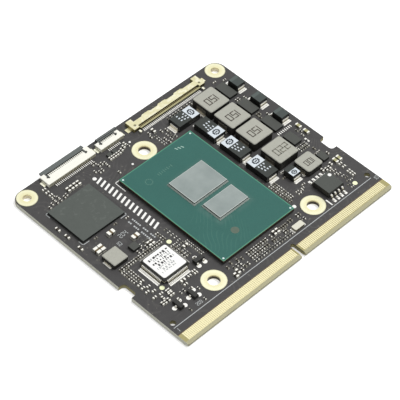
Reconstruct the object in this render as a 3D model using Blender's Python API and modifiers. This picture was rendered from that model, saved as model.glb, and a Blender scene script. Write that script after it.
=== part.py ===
"""Card-edge system on module.

A circuit board carries a bare-die processor package, a memory package, a labelled controller, power
inductors, polymer capacitors, flat power stages and three cable connectors along the far edge.

Metres, +Z up. The origin is the centre of the board's underside. X runs along the card edge, the card
edge faces -Y and the connectors stand along the +Y edge.
"""
import math
from dataclasses import dataclass

import bmesh
import bpy
from mathutils import Matrix, Vector

MM = 0.001

# Fits
SOLDER_GAP = 0.04 * MM
FIT_GAP = 0.03 * MM
HINGE_GAP = 0.10 * MM
SINK = 0.05 * MM
PACKAGE_EASE = 0.03 * MM
ROUND_SIDES = 24

# Board
BOARD_LENGTH = 69.6 * MM
BOARD_DEPTH = 60.0 * MM
BOARD_THICKNESS = 1.2 * MM
FAR_CORNER_RADIUS = 3.0 * MM
NEAR_CORNER_RADIUS = 0.4 * MM
EDGE_CHAMFER_LENGTH = 0.8 * MM
EDGE_CHAMFER_DEPTH = 0.35 * MM
SIDE_NOTCH_DEPTH = 1.75 * MM
SIDE_NOTCH_WIDTH = 4.3 * MM
SIDE_NOTCH_RADIUS = 0.9 * MM
SIDE_NOTCH_FROM_CARD_EDGE = 20.4 * MM
TOOLING_HOLE_DIAMETER = 1.5 * MM
TOOLING_HOLE_SIDE_INSET = 1.75 * MM
TOOLING_HOLE_FROM_CARD_EDGE = 6.65 * MM

# Card edge contacts and their key
KEY_OFFSET = 3.35 * MM
KEY_WIDTH = 1.3 * MM
KEY_DEPTH = 4.3 * MM
KEY_TO_CONTACT = 1.2 * MM
CONTACT_PITCH = 0.5 * MM
CONTACT_WIDTH = 0.35 * MM
CONTACT_LENGTH = 2.2 * MM
CONTACT_FROM_EDGE = 1.0 * MM
CONTACT_END_MARGIN = 1.0 * MM
CONTACT_THICKNESS = 0.04 * MM

# Plated mounting rings
RING_PAD_THICKNESS = 0.05 * MM
PLATING_WALL = 0.12 * MM
CORNER_RING_DIAMETER = 5.3 * MM
CORNER_RING_BORE = 2.2 * MM
CORNER_RING_SIDE_INSET = 3.0 * MM
CORNER_RING_FAR_INSET = 2.8 * MM
COOLER_RING_DIAMETER = 6.3 * MM
COOLER_RING_BORE = 3.1 * MM
COOLER_RING_BESIDE_PACKAGE = 1.7 * MM
COOLER_RING_BELOW_PACKAGE = 1.72 * MM
COOLER_RING_ABOVE_PACKAGE = 0.53 * MM

# Processor package
PACKAGE_WIDTH = 24.0 * MM
PACKAGE_DEPTH = 35.0 * MM
PACKAGE_OFFSET = -0.66 * MM
PACKAGE_FAR_INSET = 14.28 * MM
PACKAGE_BALL_HEIGHT = 0.32 * MM
PACKAGE_THICKNESS = 0.98 * MM
DIE_HEIGHT = 0.72 * MM
LARGE_DIE_WIDTH = 11.1 * MM
LARGE_DIE_DEPTH = 8.7 * MM
LARGE_DIE_OFFSET_X = 0.95 * MM
LARGE_DIE_OFFSET_Y = 3.78 * MM
SMALL_DIE_WIDTH = 9.5 * MM
SMALL_DIE_DEPTH = 5.7 * MM
SMALL_DIE_OFFSET_X = 1.35 * MM
DIE_SPACING = 1.7 * MM
UNDERFILL_REACH = 0.28 * MM
UNDERFILL_LIP = 0.06 * MM
UNDERFILL_HEIGHT = 0.38 * MM

# Memory package
MEMORY_WIDTH = 13.3 * MM
MEMORY_DEPTH = 12.4 * MM
MEMORY_THICKNESS = 0.75 * MM
MEMORY_BALL_HEIGHT = 0.15 * MM
MEMORY_TO_PACKAGE = 5.79 * MM
MEMORY_FAR_INSET = 9.95 * MM

# Moulded packages with gull-wing leads
MOULD_DRAFT = 0.12 * MM
LEAD_FOOT_SHARE = 0.5
CONTROLLER_HEIGHT = 1.4 * MM
CONTROLLER_STANDOFF = 0.1 * MM
CONTROLLER_LEADS = 16
CONTROLLER_LEAD_PITCH = 0.4 * MM
CONTROLLER_LEAD_MARGIN = 0.8 * MM
CONTROLLER_LEAD_WIDTH = 0.26 * MM
CONTROLLER_LEAD_REACH = 1.0 * MM
CONTROLLER_LEAD_THICKNESS = 0.13 * MM
LABEL_MARGIN = 0.35 * MM
LABEL_THICKNESS = 0.1 * MM
LABEL_CORNER = 0.5 * MM
FLASH_HEIGHT = 1.75 * MM
FLASH_STANDOFF = 0.1 * MM
FLASH_WIDTH = 5.3 * MM
FLASH_DEPTH = 5.3 * MM
FLASH_LEADS = 4
FLASH_LEAD_PITCH = 1.27 * MM
FLASH_LEAD_WIDTH = 0.42 * MM
FLASH_LEAD_REACH = 1.3 * MM
FLASH_LEAD_THICKNESS = 0.2 * MM
FLASH_BELOW_INDUCTOR = 1.35 * MM
FLASH_SIDE_INSET = 11.8 * MM
TRANSISTOR_LENGTH = 2.9 * MM
TRANSISTOR_WIDTH = 1.3 * MM
TRANSISTOR_HEIGHT = 0.95 * MM
TRANSISTOR_STANDOFF = 0.05 * MM
TRANSISTOR_LEAD_PITCH = 1.9 * MM
TRANSISTOR_LEAD_WIDTH = 0.4 * MM
TRANSISTOR_LEAD_REACH = 0.5 * MM
TRANSISTOR_TO_PACKAGE = 1.89 * MM
TRANSISTOR_TO_CONTROLLER = 0.25 * MM
TRANSISTORS_BELOW_CONTROLLER = 4.15 * MM
TRANSISTOR_SPACING = 4.5 * MM
TRANSISTOR_SHIFT = 1.5 * MM

# Power inductors, in a column from the display connector towards the card edge
INDUCTOR_SIDE = 6.7 * MM
INDUCTOR_HEIGHT = 2.8 * MM
INDUCTOR_CORNER = 0.5 * MM
INDUCTOR_EASE = 0.15 * MM
INDUCTOR_BELOW_DISPLAY = 2.1 * MM
INDUCTOR_SPACING = 0.72 * MM
LAST_INDUCTOR_SPACING = 1.86 * MM
INDUCTOR_TERMINAL_WIDTH = 3.0 * MM
INDUCTOR_TERMINAL_HEIGHT = 1.8 * MM
TERMINAL_THICKNESS = 0.12 * MM
SMALL_INDUCTOR_SIDE = 5.2 * MM
SMALL_INDUCTOR_HEIGHT = 2.0 * MM
SMALL_INDUCTOR_CORNER = 0.7 * MM
SMALL_INDUCTOR_SHIFT = 2.8 * MM
SMALL_INDUCTOR_SPACING = 1.05 * MM
SMALL_TERMINAL_HEIGHT = 1.2 * MM
INPUT_INDUCTOR_WIDTH = 4.4 * MM
INPUT_INDUCTOR_DEPTH = 4.5 * MM
INPUT_INDUCTOR_HEIGHT = 1.5 * MM
INPUT_INDUCTOR_CORNER = 0.3 * MM
INPUT_INDUCTOR_SIDE_INSET = 2.8 * MM
INPUT_INDUCTOR_BELOW_MEMORY = 6.35 * MM
INPUT_TERMINAL_WIDTH = 2.4 * MM
INPUT_TERMINAL_HEIGHT = 0.6 * MM
CONTROLLER_BELOW_INDUCTOR = 1.9 * MM

# Polymer capacitors
CAPACITOR_LENGTH = 7.1 * MM
CAPACITOR_WIDTH = 4.05 * MM
CAPACITOR_HEIGHT = 1.9 * MM
CAPACITOR_DRAFT = 0.1 * MM
CAPACITOR_TERMINAL_WIDTH = 2.6 * MM
CAPACITOR_TERMINAL_HEIGHT = 0.95 * MM
CAPACITOR_FOOT_REACH = 0.6 * MM
CAPACITOR_SPACING = 0.58 * MM
CAPACITOR_TO_PACKAGE = 1.885 * MM
CAPACITOR_TO_INDUCTOR = 1.075 * MM
CROSS_CAPACITOR_TO_INDUCTOR = 0.85 * MM
CROSS_CAPACITOR_BELOW_DISPLAY = 2.475 * MM
CAPACITORS_BELOW_CROSS = 0.775 * MM
SHORT_CAPACITOR_LENGTH = 3.3 * MM
SHORT_CAPACITOR_WIDTH = 2.8 * MM
SHORT_CAPACITOR_TERMINAL_WIDTH = 2.2 * MM
SMALL_CAPACITOR_TO_INDUCTOR = 1.05 * MM
SMALL_CAPACITOR_BELOW_INDUCTOR = 0.75 * MM
EDGE_CAPACITOR_TO_STAGE = 0.55 * MM
EDGE_CAPACITOR_SHIFTS = (0.85 * MM, 0.55 * MM, 0.4 * MM)

# Flat packages
FLAT_PACKAGE_HEIGHT = 0.8 * MM
POWER_STAGE_WIDTH = 2.8 * MM
POWER_STAGE_LENGTH = 5.2 * MM
POWER_STAGE_TO_INDUCTOR = 1.95 * MM
POWER_STAGE_SHIFTS = (1.1 * MM, 1.0 * MM, 0.25 * MM)
UPPER_REGULATOR_WIDTH = 2.6 * MM
UPPER_REGULATOR_LENGTH = 4.0 * MM
REGULATOR_BELOW_STAGE = 2.45 * MM
LOWER_REGULATOR_WIDTH = 1.9 * MM
LOWER_REGULATOR_LENGTH = 2.7 * MM
LOWER_REGULATOR_TO_INDUCTOR = 1.25 * MM
LOWER_REGULATOR_SHIFT = 0.4 * MM
LEFT_REGULATOR_WIDTH = 2.1 * MM
LEFT_REGULATOR_LENGTH = 2.0 * MM
LEFT_REGULATOR_TO_INDUCTOR = 2.45 * MM
LEFT_REGULATOR_SHIFT = 0.45 * MM
CRYSTAL_WIDTH = 3.2 * MM
CRYSTAL_DEPTH = 1.6 * MM
CRYSTAL_HEIGHT = 0.7 * MM
CRYSTAL_CORNER = 0.25 * MM
CRYSTAL_TO_RING = 2.94 * MM
CRYSTAL_BELOW_PACKAGE = 3.12 * MM
PROTECTION_WIDTH = 1.3 * MM
PROTECTION_DEPTH = 1.0 * MM
PROTECTION_HEIGHT = 0.55 * MM
PROTECTION_SPACING = 0.4 * MM
PROTECTION_SHIFT = 2.1 * MM
PROTECTION_BELOW_CONNECTOR = 0.5 * MM

# Film-cable connectors with a flip lid
FILM_PITCH = 0.5 * MM
FILM_HEIGHT = 1.1 * MM
FILM_FLOOR = 0.3 * MM
FILM_MOUTH_HEIGHT = 0.34 * MM
FILM_MOUTH_BACK = 0.7 * MM
FILM_COMB_LENGTH = 0.55 * MM
FILM_COMB_WIDTH = 0.22 * MM
FILM_TAIL_WIDTH = 0.2 * MM
FILM_TAIL_LENGTH = 0.95 * MM
FILM_TAIL_THICKNESS = 0.14 * MM
FILM_EASE = 0.05 * MM
WIDE_CONTACTS = 24
WIDE_END_LENGTH = 1.6 * MM
WIDE_FRONT_INSET = 4.0 * MM
WIDE_ROOF_DEPTH = 2.8 * MM
WIDE_DEPTH = 3.45 * MM
WIDE_AXIS_DEPTH = 2.05 * MM
WIDE_LID_TIP = 4.5 * MM
WIDE_LID_MARGIN = 0.15 * MM
WIDE_LIP_LEFT = 0.65 * MM
WIDE_LIP_RIGHT = 0.65 * MM
NARROW_CONTACTS = 8
NARROW_END_LENGTH = 1.75 * MM
NARROW_FRONT_INSET = 4.15 * MM
NARROW_ROOF_DEPTH = 2.15 * MM
NARROW_DEPTH = 2.5 * MM
NARROW_AXIS_DEPTH = 1.7 * MM
NARROW_LID_TIP = 3.65 * MM
NARROW_LID_MARGIN = 0.5 * MM
NARROW_LIP_LEFT = 0.1 * MM
NARROW_LIP_RIGHT = 1.45 * MM
NARROW_GRIP_RADIUS = 0.42 * MM
NARROW_GRIP_RISE = 0.12 * MM
LID_AXIS_HEIGHT = 0.72 * MM
LID_THICKNESS = 0.6 * MM
LID_ARM_WIDTH = 0.32 * MM
LID_ARM_BACK = 0.22 * MM
LID_BAR_START = 0.32 * MM
PIVOT_RADIUS = 0.16 * MM
PIVOT_LENGTH = 0.28 * MM
TAB_WIDTH = 0.75 * MM
TAB_DEPTH = 1.6 * MM
TAB_HEIGHT = 0.55 * MM
TAB_THICKNESS = 0.15 * MM

# Display cable connector
DISPLAY_CONTACTS = 40
DISPLAY_PITCH = 0.5 * MM
DISPLAY_END_LENGTH = 0.4 * MM
DISPLAY_FRONT_INSET = 5.1 * MM
DISPLAY_DEPTH = 2.5 * MM
DISPLAY_BASE_HEIGHT = 0.45 * MM
DISPLAY_HEIGHT = 1.0 * MM
DISPLAY_RAIL_DEPTH = 0.45 * MM
DISPLAY_RAIL_HEIGHT = 0.75 * MM
DISPLAY_WALL_DEPTH = 1.35 * MM
DISPLAY_CONTACT_WIDTH = 0.22 * MM
DISPLAY_TAIL_LENGTH = 0.7 * MM
DISPLAY_TAIL_THICKNESS = 0.12 * MM
SHELL_THICKNESS = 0.12 * MM
SHELL_PLATE_DEPTH = 1.45 * MM
SHELL_FLANGE = 0.65 * MM
SHELL_OVERHANG = 0.2 * MM
SHELL_SCALLOPS = 3
SHELL_SCALLOP_PITCH = 5.55 * MM
SHELL_SCALLOP_LENGTH = 3.3 * MM
SHELL_SCALLOP_SLOPE = 0.55 * MM
SHELL_SCALLOP_RISE = 0.38 * MM
SHELL_LUG_LENGTH = 1.8 * MM
SHELL_LUG_DEPTH = 3.4 * MM
SHELL_LUG_START = 0.37 * MM
SHELL_PAD_LENGTH = 1.3 * MM
SHELL_PAD_DEPTH = 1.4 * MM
POST_WIDTH = 0.55 * MM
POST_DEPTH = 0.8 * MM

# How the spare room between the corner rings is shared before, between and after the three connectors
CONNECTOR_ROOM_SHARES = (0.468, 0.026, 0.187, 0.319)

# Board edges and heights
LEFT_EDGE = -BOARD_LENGTH / 2
RIGHT_EDGE = BOARD_LENGTH / 2
CARD_EDGE = -BOARD_DEPTH / 2
FAR_EDGE = BOARD_DEPTH / 2
BOARD_TOP = BOARD_THICKNESS
SEAT = BOARD_TOP + SOLDER_GAP
QUARTER = math.pi / 2

# Sizes that follow from the values above
CONTROLLER_SIDE = CONTROLLER_LEADS * CONTROLLER_LEAD_PITCH + CONTROLLER_LEAD_MARGIN * 2
CONTROLLER_HALF = CONTROLLER_SIDE / 2 + CONTROLLER_LEAD_REACH
CAPACITOR_HALF = CAPACITOR_LENGTH / 2 + CAPACITOR_FOOT_REACH
SHORT_CAPACITOR_HALF = SHORT_CAPACITOR_LENGTH / 2 + CAPACITOR_FOOT_REACH
DISPLAY_LENGTH = DISPLAY_CONTACTS * DISPLAY_PITCH + DISPLAY_END_LENGTH * 2
DISPLAY_FRONT = FAR_EDGE - DISPLAY_FRONT_INSET
TAILS_FRONT = DISPLAY_FRONT - DISPLAY_TAIL_LENGTH

# Layout of the processor, its cooler rings and what lies left of it
PACKAGE_X = PACKAGE_OFFSET
PACKAGE_Y = FAR_EDGE - PACKAGE_FAR_INSET - PACKAGE_DEPTH / 2
PACKAGE_LEFT = PACKAGE_X - PACKAGE_WIDTH / 2
PACKAGE_RIGHT = PACKAGE_X + PACKAGE_WIDTH / 2
PACKAGE_NEAR = PACKAGE_Y - PACKAGE_DEPTH / 2
PACKAGE_FAR = PACKAGE_Y + PACKAGE_DEPTH / 2
COOLER_RING_SPAN = PACKAGE_WIDTH / 2 + COOLER_RING_BESIDE_PACKAGE + COOLER_RING_DIAMETER / 2
COOLER_RING_NEAR_Y = PACKAGE_NEAR - COOLER_RING_BELOW_PACKAGE
COOLER_RING_FAR_Y = PACKAGE_FAR + COOLER_RING_ABOVE_PACKAGE + COOLER_RING_DIAMETER / 2
MEMORY_X = PACKAGE_LEFT - MEMORY_TO_PACKAGE - MEMORY_WIDTH / 2
MEMORY_Y = FAR_EDGE - MEMORY_FAR_INSET - MEMORY_DEPTH / 2
INPUT_INDUCTOR_X = LEFT_EDGE + INPUT_INDUCTOR_SIDE_INSET + INPUT_INDUCTOR_WIDTH / 2
INPUT_INDUCTOR_Y = MEMORY_Y - MEMORY_DEPTH / 2 - INPUT_INDUCTOR_BELOW_MEMORY - INPUT_INDUCTOR_DEPTH / 2
LEFT_REGULATOR_X = (
    INPUT_INDUCTOR_X + INPUT_INDUCTOR_WIDTH / 2 + LEFT_REGULATOR_TO_INDUCTOR + LEFT_REGULATOR_WIDTH / 2
)
LEFT_REGULATOR_Y = INPUT_INDUCTOR_Y - LEFT_REGULATOR_SHIFT
TRANSISTOR_X = PACKAGE_LEFT - TRANSISTOR_TO_PACKAGE - TRANSISTOR_LENGTH / 2
CONTROLLER_X = TRANSISTOR_X - TRANSISTOR_LENGTH / 2 - TRANSISTOR_TO_CONTROLLER - CONTROLLER_HALF
CONTROLLER_Y = (
    INPUT_INDUCTOR_Y - INPUT_INDUCTOR_DEPTH / 2 - CONTROLLER_BELOW_INDUCTOR - CONTROLLER_HALF
)
TRANSISTOR_Y = CONTROLLER_Y - CONTROLLER_HALF + TRANSISTOR_WIDTH / 2
LOW_TRANSISTOR_Y = CONTROLLER_Y - CONTROLLER_HALF - TRANSISTORS_BELOW_CONTROLLER - TRANSISTOR_LENGTH / 2

# Layout of the columns right of the processor
CAPACITOR_X = PACKAGE_RIGHT + CAPACITOR_TO_PACKAGE + CAPACITOR_WIDTH / 2
INDUCTOR_X = CAPACITOR_X + CAPACITOR_WIDTH / 2 + CAPACITOR_TO_INDUCTOR + INDUCTOR_SIDE / 2
INDUCTOR_LEFT = INDUCTOR_X - INDUCTOR_SIDE / 2
INDUCTOR_RIGHT = INDUCTOR_X + INDUCTOR_SIDE / 2
POWER_STAGE_X = INDUCTOR_RIGHT + POWER_STAGE_TO_INDUCTOR + POWER_STAGE_WIDTH / 2
EDGE_CAPACITOR_X = (
    POWER_STAGE_X + POWER_STAGE_WIDTH / 2 + EDGE_CAPACITOR_TO_STAGE + SHORT_CAPACITOR_WIDTH / 2
)
INDUCTOR_STEP = INDUCTOR_SIDE + INDUCTOR_SPACING
FIRST_INDUCTOR_Y = TAILS_FRONT - INDUCTOR_BELOW_DISPLAY - INDUCTOR_SIDE / 2
LAST_INDUCTOR_Y = FIRST_INDUCTOR_Y - INDUCTOR_STEP * 2 - INDUCTOR_SIDE - LAST_INDUCTOR_SPACING
INDUCTOR_ROWS = (
    FIRST_INDUCTOR_Y,
    FIRST_INDUCTOR_Y - INDUCTOR_STEP,
    FIRST_INDUCTOR_Y - INDUCTOR_STEP * 2,
    LAST_INDUCTOR_Y,
)
SMALL_INDUCTOR_X = INDUCTOR_X + SMALL_INDUCTOR_SHIFT
SMALL_INDUCTOR_Y = LAST_INDUCTOR_Y - INDUCTOR_SIDE / 2 - SMALL_INDUCTOR_SPACING - SMALL_INDUCTOR_SIDE / 2
FLASH_X = RIGHT_EDGE - FLASH_SIDE_INSET
FLASH_Y = (
    SMALL_INDUCTOR_Y - SMALL_INDUCTOR_SIDE / 2 - FLASH_BELOW_INDUCTOR - FLASH_LEAD_REACH - FLASH_DEPTH / 2
)
CROSS_CAPACITOR_X = INDUCTOR_LEFT - CROSS_CAPACITOR_TO_INDUCTOR - CAPACITOR_HALF
CROSS_CAPACITOR_Y = TAILS_FRONT - CROSS_CAPACITOR_BELOW_DISPLAY - CAPACITOR_WIDTH / 2
FIRST_CAPACITOR_Y = CROSS_CAPACITOR_Y - CAPACITOR_WIDTH / 2 - CAPACITORS_BELOW_CROSS - CAPACITOR_HALF
CAPACITOR_STEP = CAPACITOR_HALF * 2 + CAPACITOR_SPACING
CAPACITOR_ROWS = (
    FIRST_CAPACITOR_Y,
    FIRST_CAPACITOR_Y - CAPACITOR_STEP,
    FIRST_CAPACITOR_Y - CAPACITOR_STEP * 2,
)
SMALL_CAPACITOR_X = (
    SMALL_INDUCTOR_X - SMALL_INDUCTOR_SIDE / 2 - SMALL_CAPACITOR_TO_INDUCTOR - SHORT_CAPACITOR_WIDTH / 2
)
SMALL_CAPACITOR_Y = (
    LAST_INDUCTOR_Y - INDUCTOR_SIDE / 2 - SMALL_CAPACITOR_BELOW_INDUCTOR - SHORT_CAPACITOR_HALF
)
UPPER_REGULATOR_X = INDUCTOR_RIGHT + POWER_STAGE_TO_INDUCTOR + UPPER_REGULATOR_WIDTH / 2
UPPER_REGULATOR_Y = (
    INDUCTOR_ROWS[2]
    + POWER_STAGE_SHIFTS[2]
    - POWER_STAGE_LENGTH / 2
    - REGULATOR_BELOW_STAGE
    - UPPER_REGULATOR_LENGTH / 2
)
LOWER_REGULATOR_X = (
    SMALL_INDUCTOR_X + SMALL_INDUCTOR_SIDE / 2 + LOWER_REGULATOR_TO_INDUCTOR + LOWER_REGULATOR_WIDTH / 2
)
LOWER_REGULATOR_Y = SMALL_INDUCTOR_Y - LOWER_REGULATOR_SHIFT
CRYSTAL_X = PACKAGE_X + COOLER_RING_SPAN - COOLER_RING_DIAMETER / 2 - CRYSTAL_TO_RING - CRYSTAL_WIDTH / 2
CRYSTAL_Y = PACKAGE_NEAR - CRYSTAL_BELOW_PACKAGE - CRYSTAL_DEPTH / 2


@dataclass
class FilmConnector:
    """What sets one film-cable connector apart from the other. Depths run back from its front face."""

    prefix: str
    contacts: int
    end_length: float
    front_inset: float
    roof: float
    depth: float
    axis: float
    lid_tip: float
    lid_margin: float
    lips: tuple
    grip_radius: float = 0.0
    grip_rise: float = 0.0

    @property
    def length(self):
        """Length of the housing."""
        return self.contacts * FILM_PITCH + self.end_length * 2

    @property
    def half_lid(self):
        """Half the lid's width between the end blocks."""
        return self.contacts * FILM_PITCH / 2 + self.lid_margin

    @property
    def room(self):
        """Length taken along the edge, solder tabs included."""
        return self.length + (TAB_WIDTH + FIT_GAP) * 2


WIDE = FilmConnector(
    prefix="wide",
    contacts=WIDE_CONTACTS,
    end_length=WIDE_END_LENGTH,
    front_inset=WIDE_FRONT_INSET,
    roof=WIDE_ROOF_DEPTH,
    depth=WIDE_DEPTH,
    axis=WIDE_AXIS_DEPTH,
    lid_tip=WIDE_LID_TIP,
    lid_margin=WIDE_LID_MARGIN,
    lips=(WIDE_LIP_LEFT, WIDE_LIP_RIGHT),
)
NARROW = FilmConnector(
    prefix="narrow",
    contacts=NARROW_CONTACTS,
    end_length=NARROW_END_LENGTH,
    front_inset=NARROW_FRONT_INSET,
    roof=NARROW_ROOF_DEPTH,
    depth=NARROW_DEPTH,
    axis=NARROW_AXIS_DEPTH,
    lid_tip=NARROW_LID_TIP,
    lid_margin=NARROW_LID_MARGIN,
    lips=(NARROW_LIP_LEFT, NARROW_LIP_RIGHT),
    grip_radius=NARROW_GRIP_RADIUS,
    grip_rise=NARROW_GRIP_RISE,
)
DISPLAY_ROOM = DISPLAY_LENGTH + (SHELL_LUG_LENGTH + SHELL_PAD_LENGTH) * 2
RING_TO_RING = BOARD_LENGTH - (CORNER_RING_SIDE_INSET + CORNER_RING_DIAMETER / 2) * 2
SPARE_ROOM = RING_TO_RING - WIDE.room - NARROW.room - DISPLAY_ROOM
WIDE_X = (
    LEFT_EDGE
    + CORNER_RING_SIDE_INSET
    + CORNER_RING_DIAMETER / 2
    + SPARE_ROOM * CONNECTOR_ROOM_SHARES[0]
    + WIDE.room / 2
)
NARROW_X = WIDE_X + WIDE.room / 2 + SPARE_ROOM * CONNECTOR_ROOM_SHARES[1] + NARROW.room / 2
DISPLAY_X = NARROW_X + NARROW.room / 2 + SPARE_ROOM * CONNECTOR_ROOM_SHARES[2] + DISPLAY_ROOM / 2
NARROW_TAILS_Y = FAR_EDGE - NARROW_FRONT_INSET - FILM_TAIL_LENGTH
PROTECTION_X = NARROW_X - PROTECTION_SHIFT
PROTECTION_Y = NARROW_TAILS_Y - PROTECTION_BELOW_CONNECTOR - PROTECTION_DEPTH / 2


def clear_scene():
    """Start from an empty scene."""
    for obj in list(bpy.data.objects):
        bpy.data.objects.remove(obj, do_unlink=True)


def new_collection(name):
    """A collection linked to the scene."""
    collection = bpy.data.collections.new(name)
    bpy.context.scene.collection.children.link(collection)
    return collection


def finish(obj, colour, roughness, metallic=0.0):
    """Give the piece a material of its own."""
    material = bpy.data.materials.new(obj.name)
    material.use_nodes = True
    shader = material.node_tree.nodes["Principled BSDF"]
    shader.inputs["Base Color"].default_value = (*colour, 1.0)
    shader.inputs["Roughness"].default_value = roughness
    shader.inputs["Metallic"].default_value = metallic
    obj.data.materials.clear()
    obj.data.materials.append(material)
    return obj


def board_finish(obj):
    """Dark grey solder mask."""
    return finish(obj, (0.09, 0.09, 0.085), 0.45)


def gold_finish(obj):
    """Pale gold plating."""
    return finish(obj, (0.80, 0.74, 0.50), 0.3, 1.0)


def tin_finish(obj):
    """Bright tinned metal."""
    return finish(obj, (0.72, 0.72, 0.70), 0.3, 1.0)


def package_finish(obj):
    """Teal solder mask of a package substrate."""
    return finish(obj, (0.05, 0.16, 0.14), 0.35)


def silicon_finish(obj):
    """The grey back of a thinned die."""
    return finish(obj, (0.36, 0.40, 0.40), 0.2, 0.6)


def underfill_finish(obj):
    """Pale grey epoxy."""
    return finish(obj, (0.30, 0.32, 0.31), 0.4)


def mould_finish(obj):
    """Dark moulding compound."""
    return finish(obj, (0.055, 0.06, 0.058), 0.55)


def memory_finish(obj):
    """Lighter moulding compound of the memory package."""
    return finish(obj, (0.11, 0.125, 0.115), 0.5)


def ferrite_finish(obj):
    """Pressed light grey powder."""
    return finish(obj, (0.45, 0.44, 0.40), 0.7)


def resin_finish(obj):
    """Charcoal capacitor resin."""
    return finish(obj, (0.05, 0.06, 0.06), 0.5)


def white_finish(obj):
    """White connector plastic."""
    return finish(obj, (0.88, 0.87, 0.82), 0.45)


def lid_finish(obj):
    """Dark grey lid plastic."""
    return finish(obj, (0.12, 0.13, 0.13), 0.5)


def paper_finish(obj):
    """White label paper."""
    return finish(obj, (0.88, 0.88, 0.86), 0.7)


def ceramic_finish(obj):
    """Off-white crystal lid."""
    return finish(obj, (0.78, 0.76, 0.68), 0.4)


def add_box(bm, low, high):
    """Add a closed box between two corners."""
    low = Vector(low)
    high = Vector(high)
    size = high - low
    matrix = Matrix.Translation((low + high) / 2) @ Matrix.Diagonal((*size, 1.0))
    bmesh.ops.create_cube(bm, size=1.0, matrix=matrix)


def add_cylinder(bm, radius, low_z, high_z, centre=(0.0, 0.0), sides=ROUND_SIDES):
    """Add a closed upright cylinder."""
    middle = Matrix.Translation((centre[0], centre[1], (low_z + high_z) / 2))
    bmesh.ops.create_cone(
        bm,
        cap_ends=True,
        segments=sides,
        radius1=radius,
        radius2=radius,
        depth=high_z - low_z,
        matrix=middle,
    )


def object_from(name, bm, collection):
    """Turn an edit mesh into an object of the collection."""
    mesh = bpy.data.meshes.new(name)
    bm.to_mesh(mesh)
    bm.free()
    obj = bpy.data.objects.new(name, mesh)
    collection.objects.link(obj)
    return obj


def boxes(name, corners, collection):
    """One object that holds the boxes between the pairs of corners."""
    bm = bmesh.new()
    for low, high in corners:
        add_box(bm, low, high)
    return object_from(name, bm, collection)


def cut_or_join(obj, other, operation):
    """Cut the other object from this one, or join it on."""
    modifier = obj.modifiers.new(other.name, "BOOLEAN")
    modifier.operation = operation
    modifier.solver = "EXACT"
    modifier.object = other
    other.hide_render = True
    other.display_type = "WIRE"


def put(obj, place, turns=0):
    """Place a piece, with the tools that cut it or are joined to it, after quarter turns about Z."""
    tools = [modifier.object for modifier in obj.modifiers if modifier.type == "BOOLEAN"]
    for item in [obj, *tools]:
        item.location = place
        item.rotation_euler = (0, 0, turns * QUARTER)
    return obj


def ease_edges(obj, width, angle=40.0):
    """Break the sharp edges with a narrow chamfer."""
    modifier = obj.modifiers.new("eased edges", "BEVEL")
    modifier.width = width
    modifier.segments = 1
    modifier.limit_method = "ANGLE"
    modifier.angle_limit = math.radians(angle)


def arc(centre, radius, start, end, steps):
    """Points along an arc, angles in degrees."""
    points = []
    for step in range(steps + 1):
        angle = math.radians(start + (end - start) * step / steps)
        points.append((centre[0] + radius * math.cos(angle), centre[1] + radius * math.sin(angle)))
    return points


def rounded_rectangle(size_x, size_y, radius, steps=4):
    """Outline of a rectangle about the origin with round corners."""
    x = size_x / 2 - radius
    y = size_y / 2 - radius
    points = arc((x, y), radius, 0, 90, steps)
    points += arc((-x, y), radius, 90, 180, steps)
    points += arc((-x, -y), radius, 180, 270, steps)
    points += arc((x, -y), radius, 270, 360, steps)
    return points


def outline_mesh(points, thickness):
    """A flat outline given thickness, from z 0 upwards, drawn in millimetres and brought to metres."""
    curve = bpy.data.curves.new("outline", "CURVE")
    curve.dimensions = "2D"
    curve.fill_mode = "BOTH"
    curve.extrude = thickness / 2 / MM
    spline = curve.splines.new("POLY")
    spline.points.add(len(points) - 1)
    for control, (x, y) in zip(spline.points, points):
        control.co = (x / MM, y / MM, 0.0, 1.0)
    spline.use_cyclic_u = True
    guide = bpy.data.objects.new("outline", curve)
    bpy.context.scene.collection.objects.link(guide)
    evaluated = guide.evaluated_get(bpy.context.evaluated_depsgraph_get())
    mesh = bpy.data.meshes.new_from_object(evaluated)
    bpy.data.objects.remove(guide, do_unlink=True)
    bm = bmesh.new()
    bm.from_mesh(mesh)
    bmesh.ops.remove_doubles(bm, verts=bm.verts, dist=0.0001)
    bmesh.ops.recalc_face_normals(bm, faces=bm.faces)
    bmesh.ops.scale(bm, vec=(MM, MM, MM), verts=bm.verts)
    bmesh.ops.translate(bm, vec=(0, 0, thickness / 2), verts=bm.verts)
    bmesh.ops.dissolve_limit(bm, angle_limit=math.radians(1.0), verts=bm.verts, edges=bm.edges)
    bm.to_mesh(mesh)
    bm.free()
    return mesh


def outline_object(name, points, thickness, collection):
    """An object with the given outline and thickness, standing on z 0."""
    obj = bpy.data.objects.new(name, outline_mesh(points, thickness))
    collection.objects.link(obj)
    return obj


def strip_outline(path, thickness):
    """Closed outline of a bent strip whose middle follows the path, with mitred bends."""
    sides = ([], [])
    for index, point in enumerate(path):
        here = Vector(point)
        before = (here - Vector(path[index - 1])).normalized() if index else None
        after = (Vector(path[index + 1]) - here).normalized() if index + 1 < len(path) else None
        if before is None:
            before = after
        if after is None:
            after = before
        normal = Vector((-before.y, before.x)) + Vector((-after.y, after.x))
        normal.normalize()
        stretch = 1 / normal.dot(Vector((-before.y, before.x)))
        sides[0].append(tuple(here + normal * stretch * thickness / 2))
        sides[1].append(tuple(here - normal * stretch * thickness / 2))
    return sides[0] + sides[1][::-1]


def strip_mesh(path, thickness, width):
    """A bent strip: the path lies in the YZ plane and the strip is centred across X."""
    mesh = outline_mesh(strip_outline(path, thickness), width)
    upright = Matrix(((0, 0, 1, -width / 2), (1, 0, 0, 0), (0, 1, 0, 0), (0, 0, 0, 1)))
    mesh.transform(upright)
    return mesh


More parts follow.
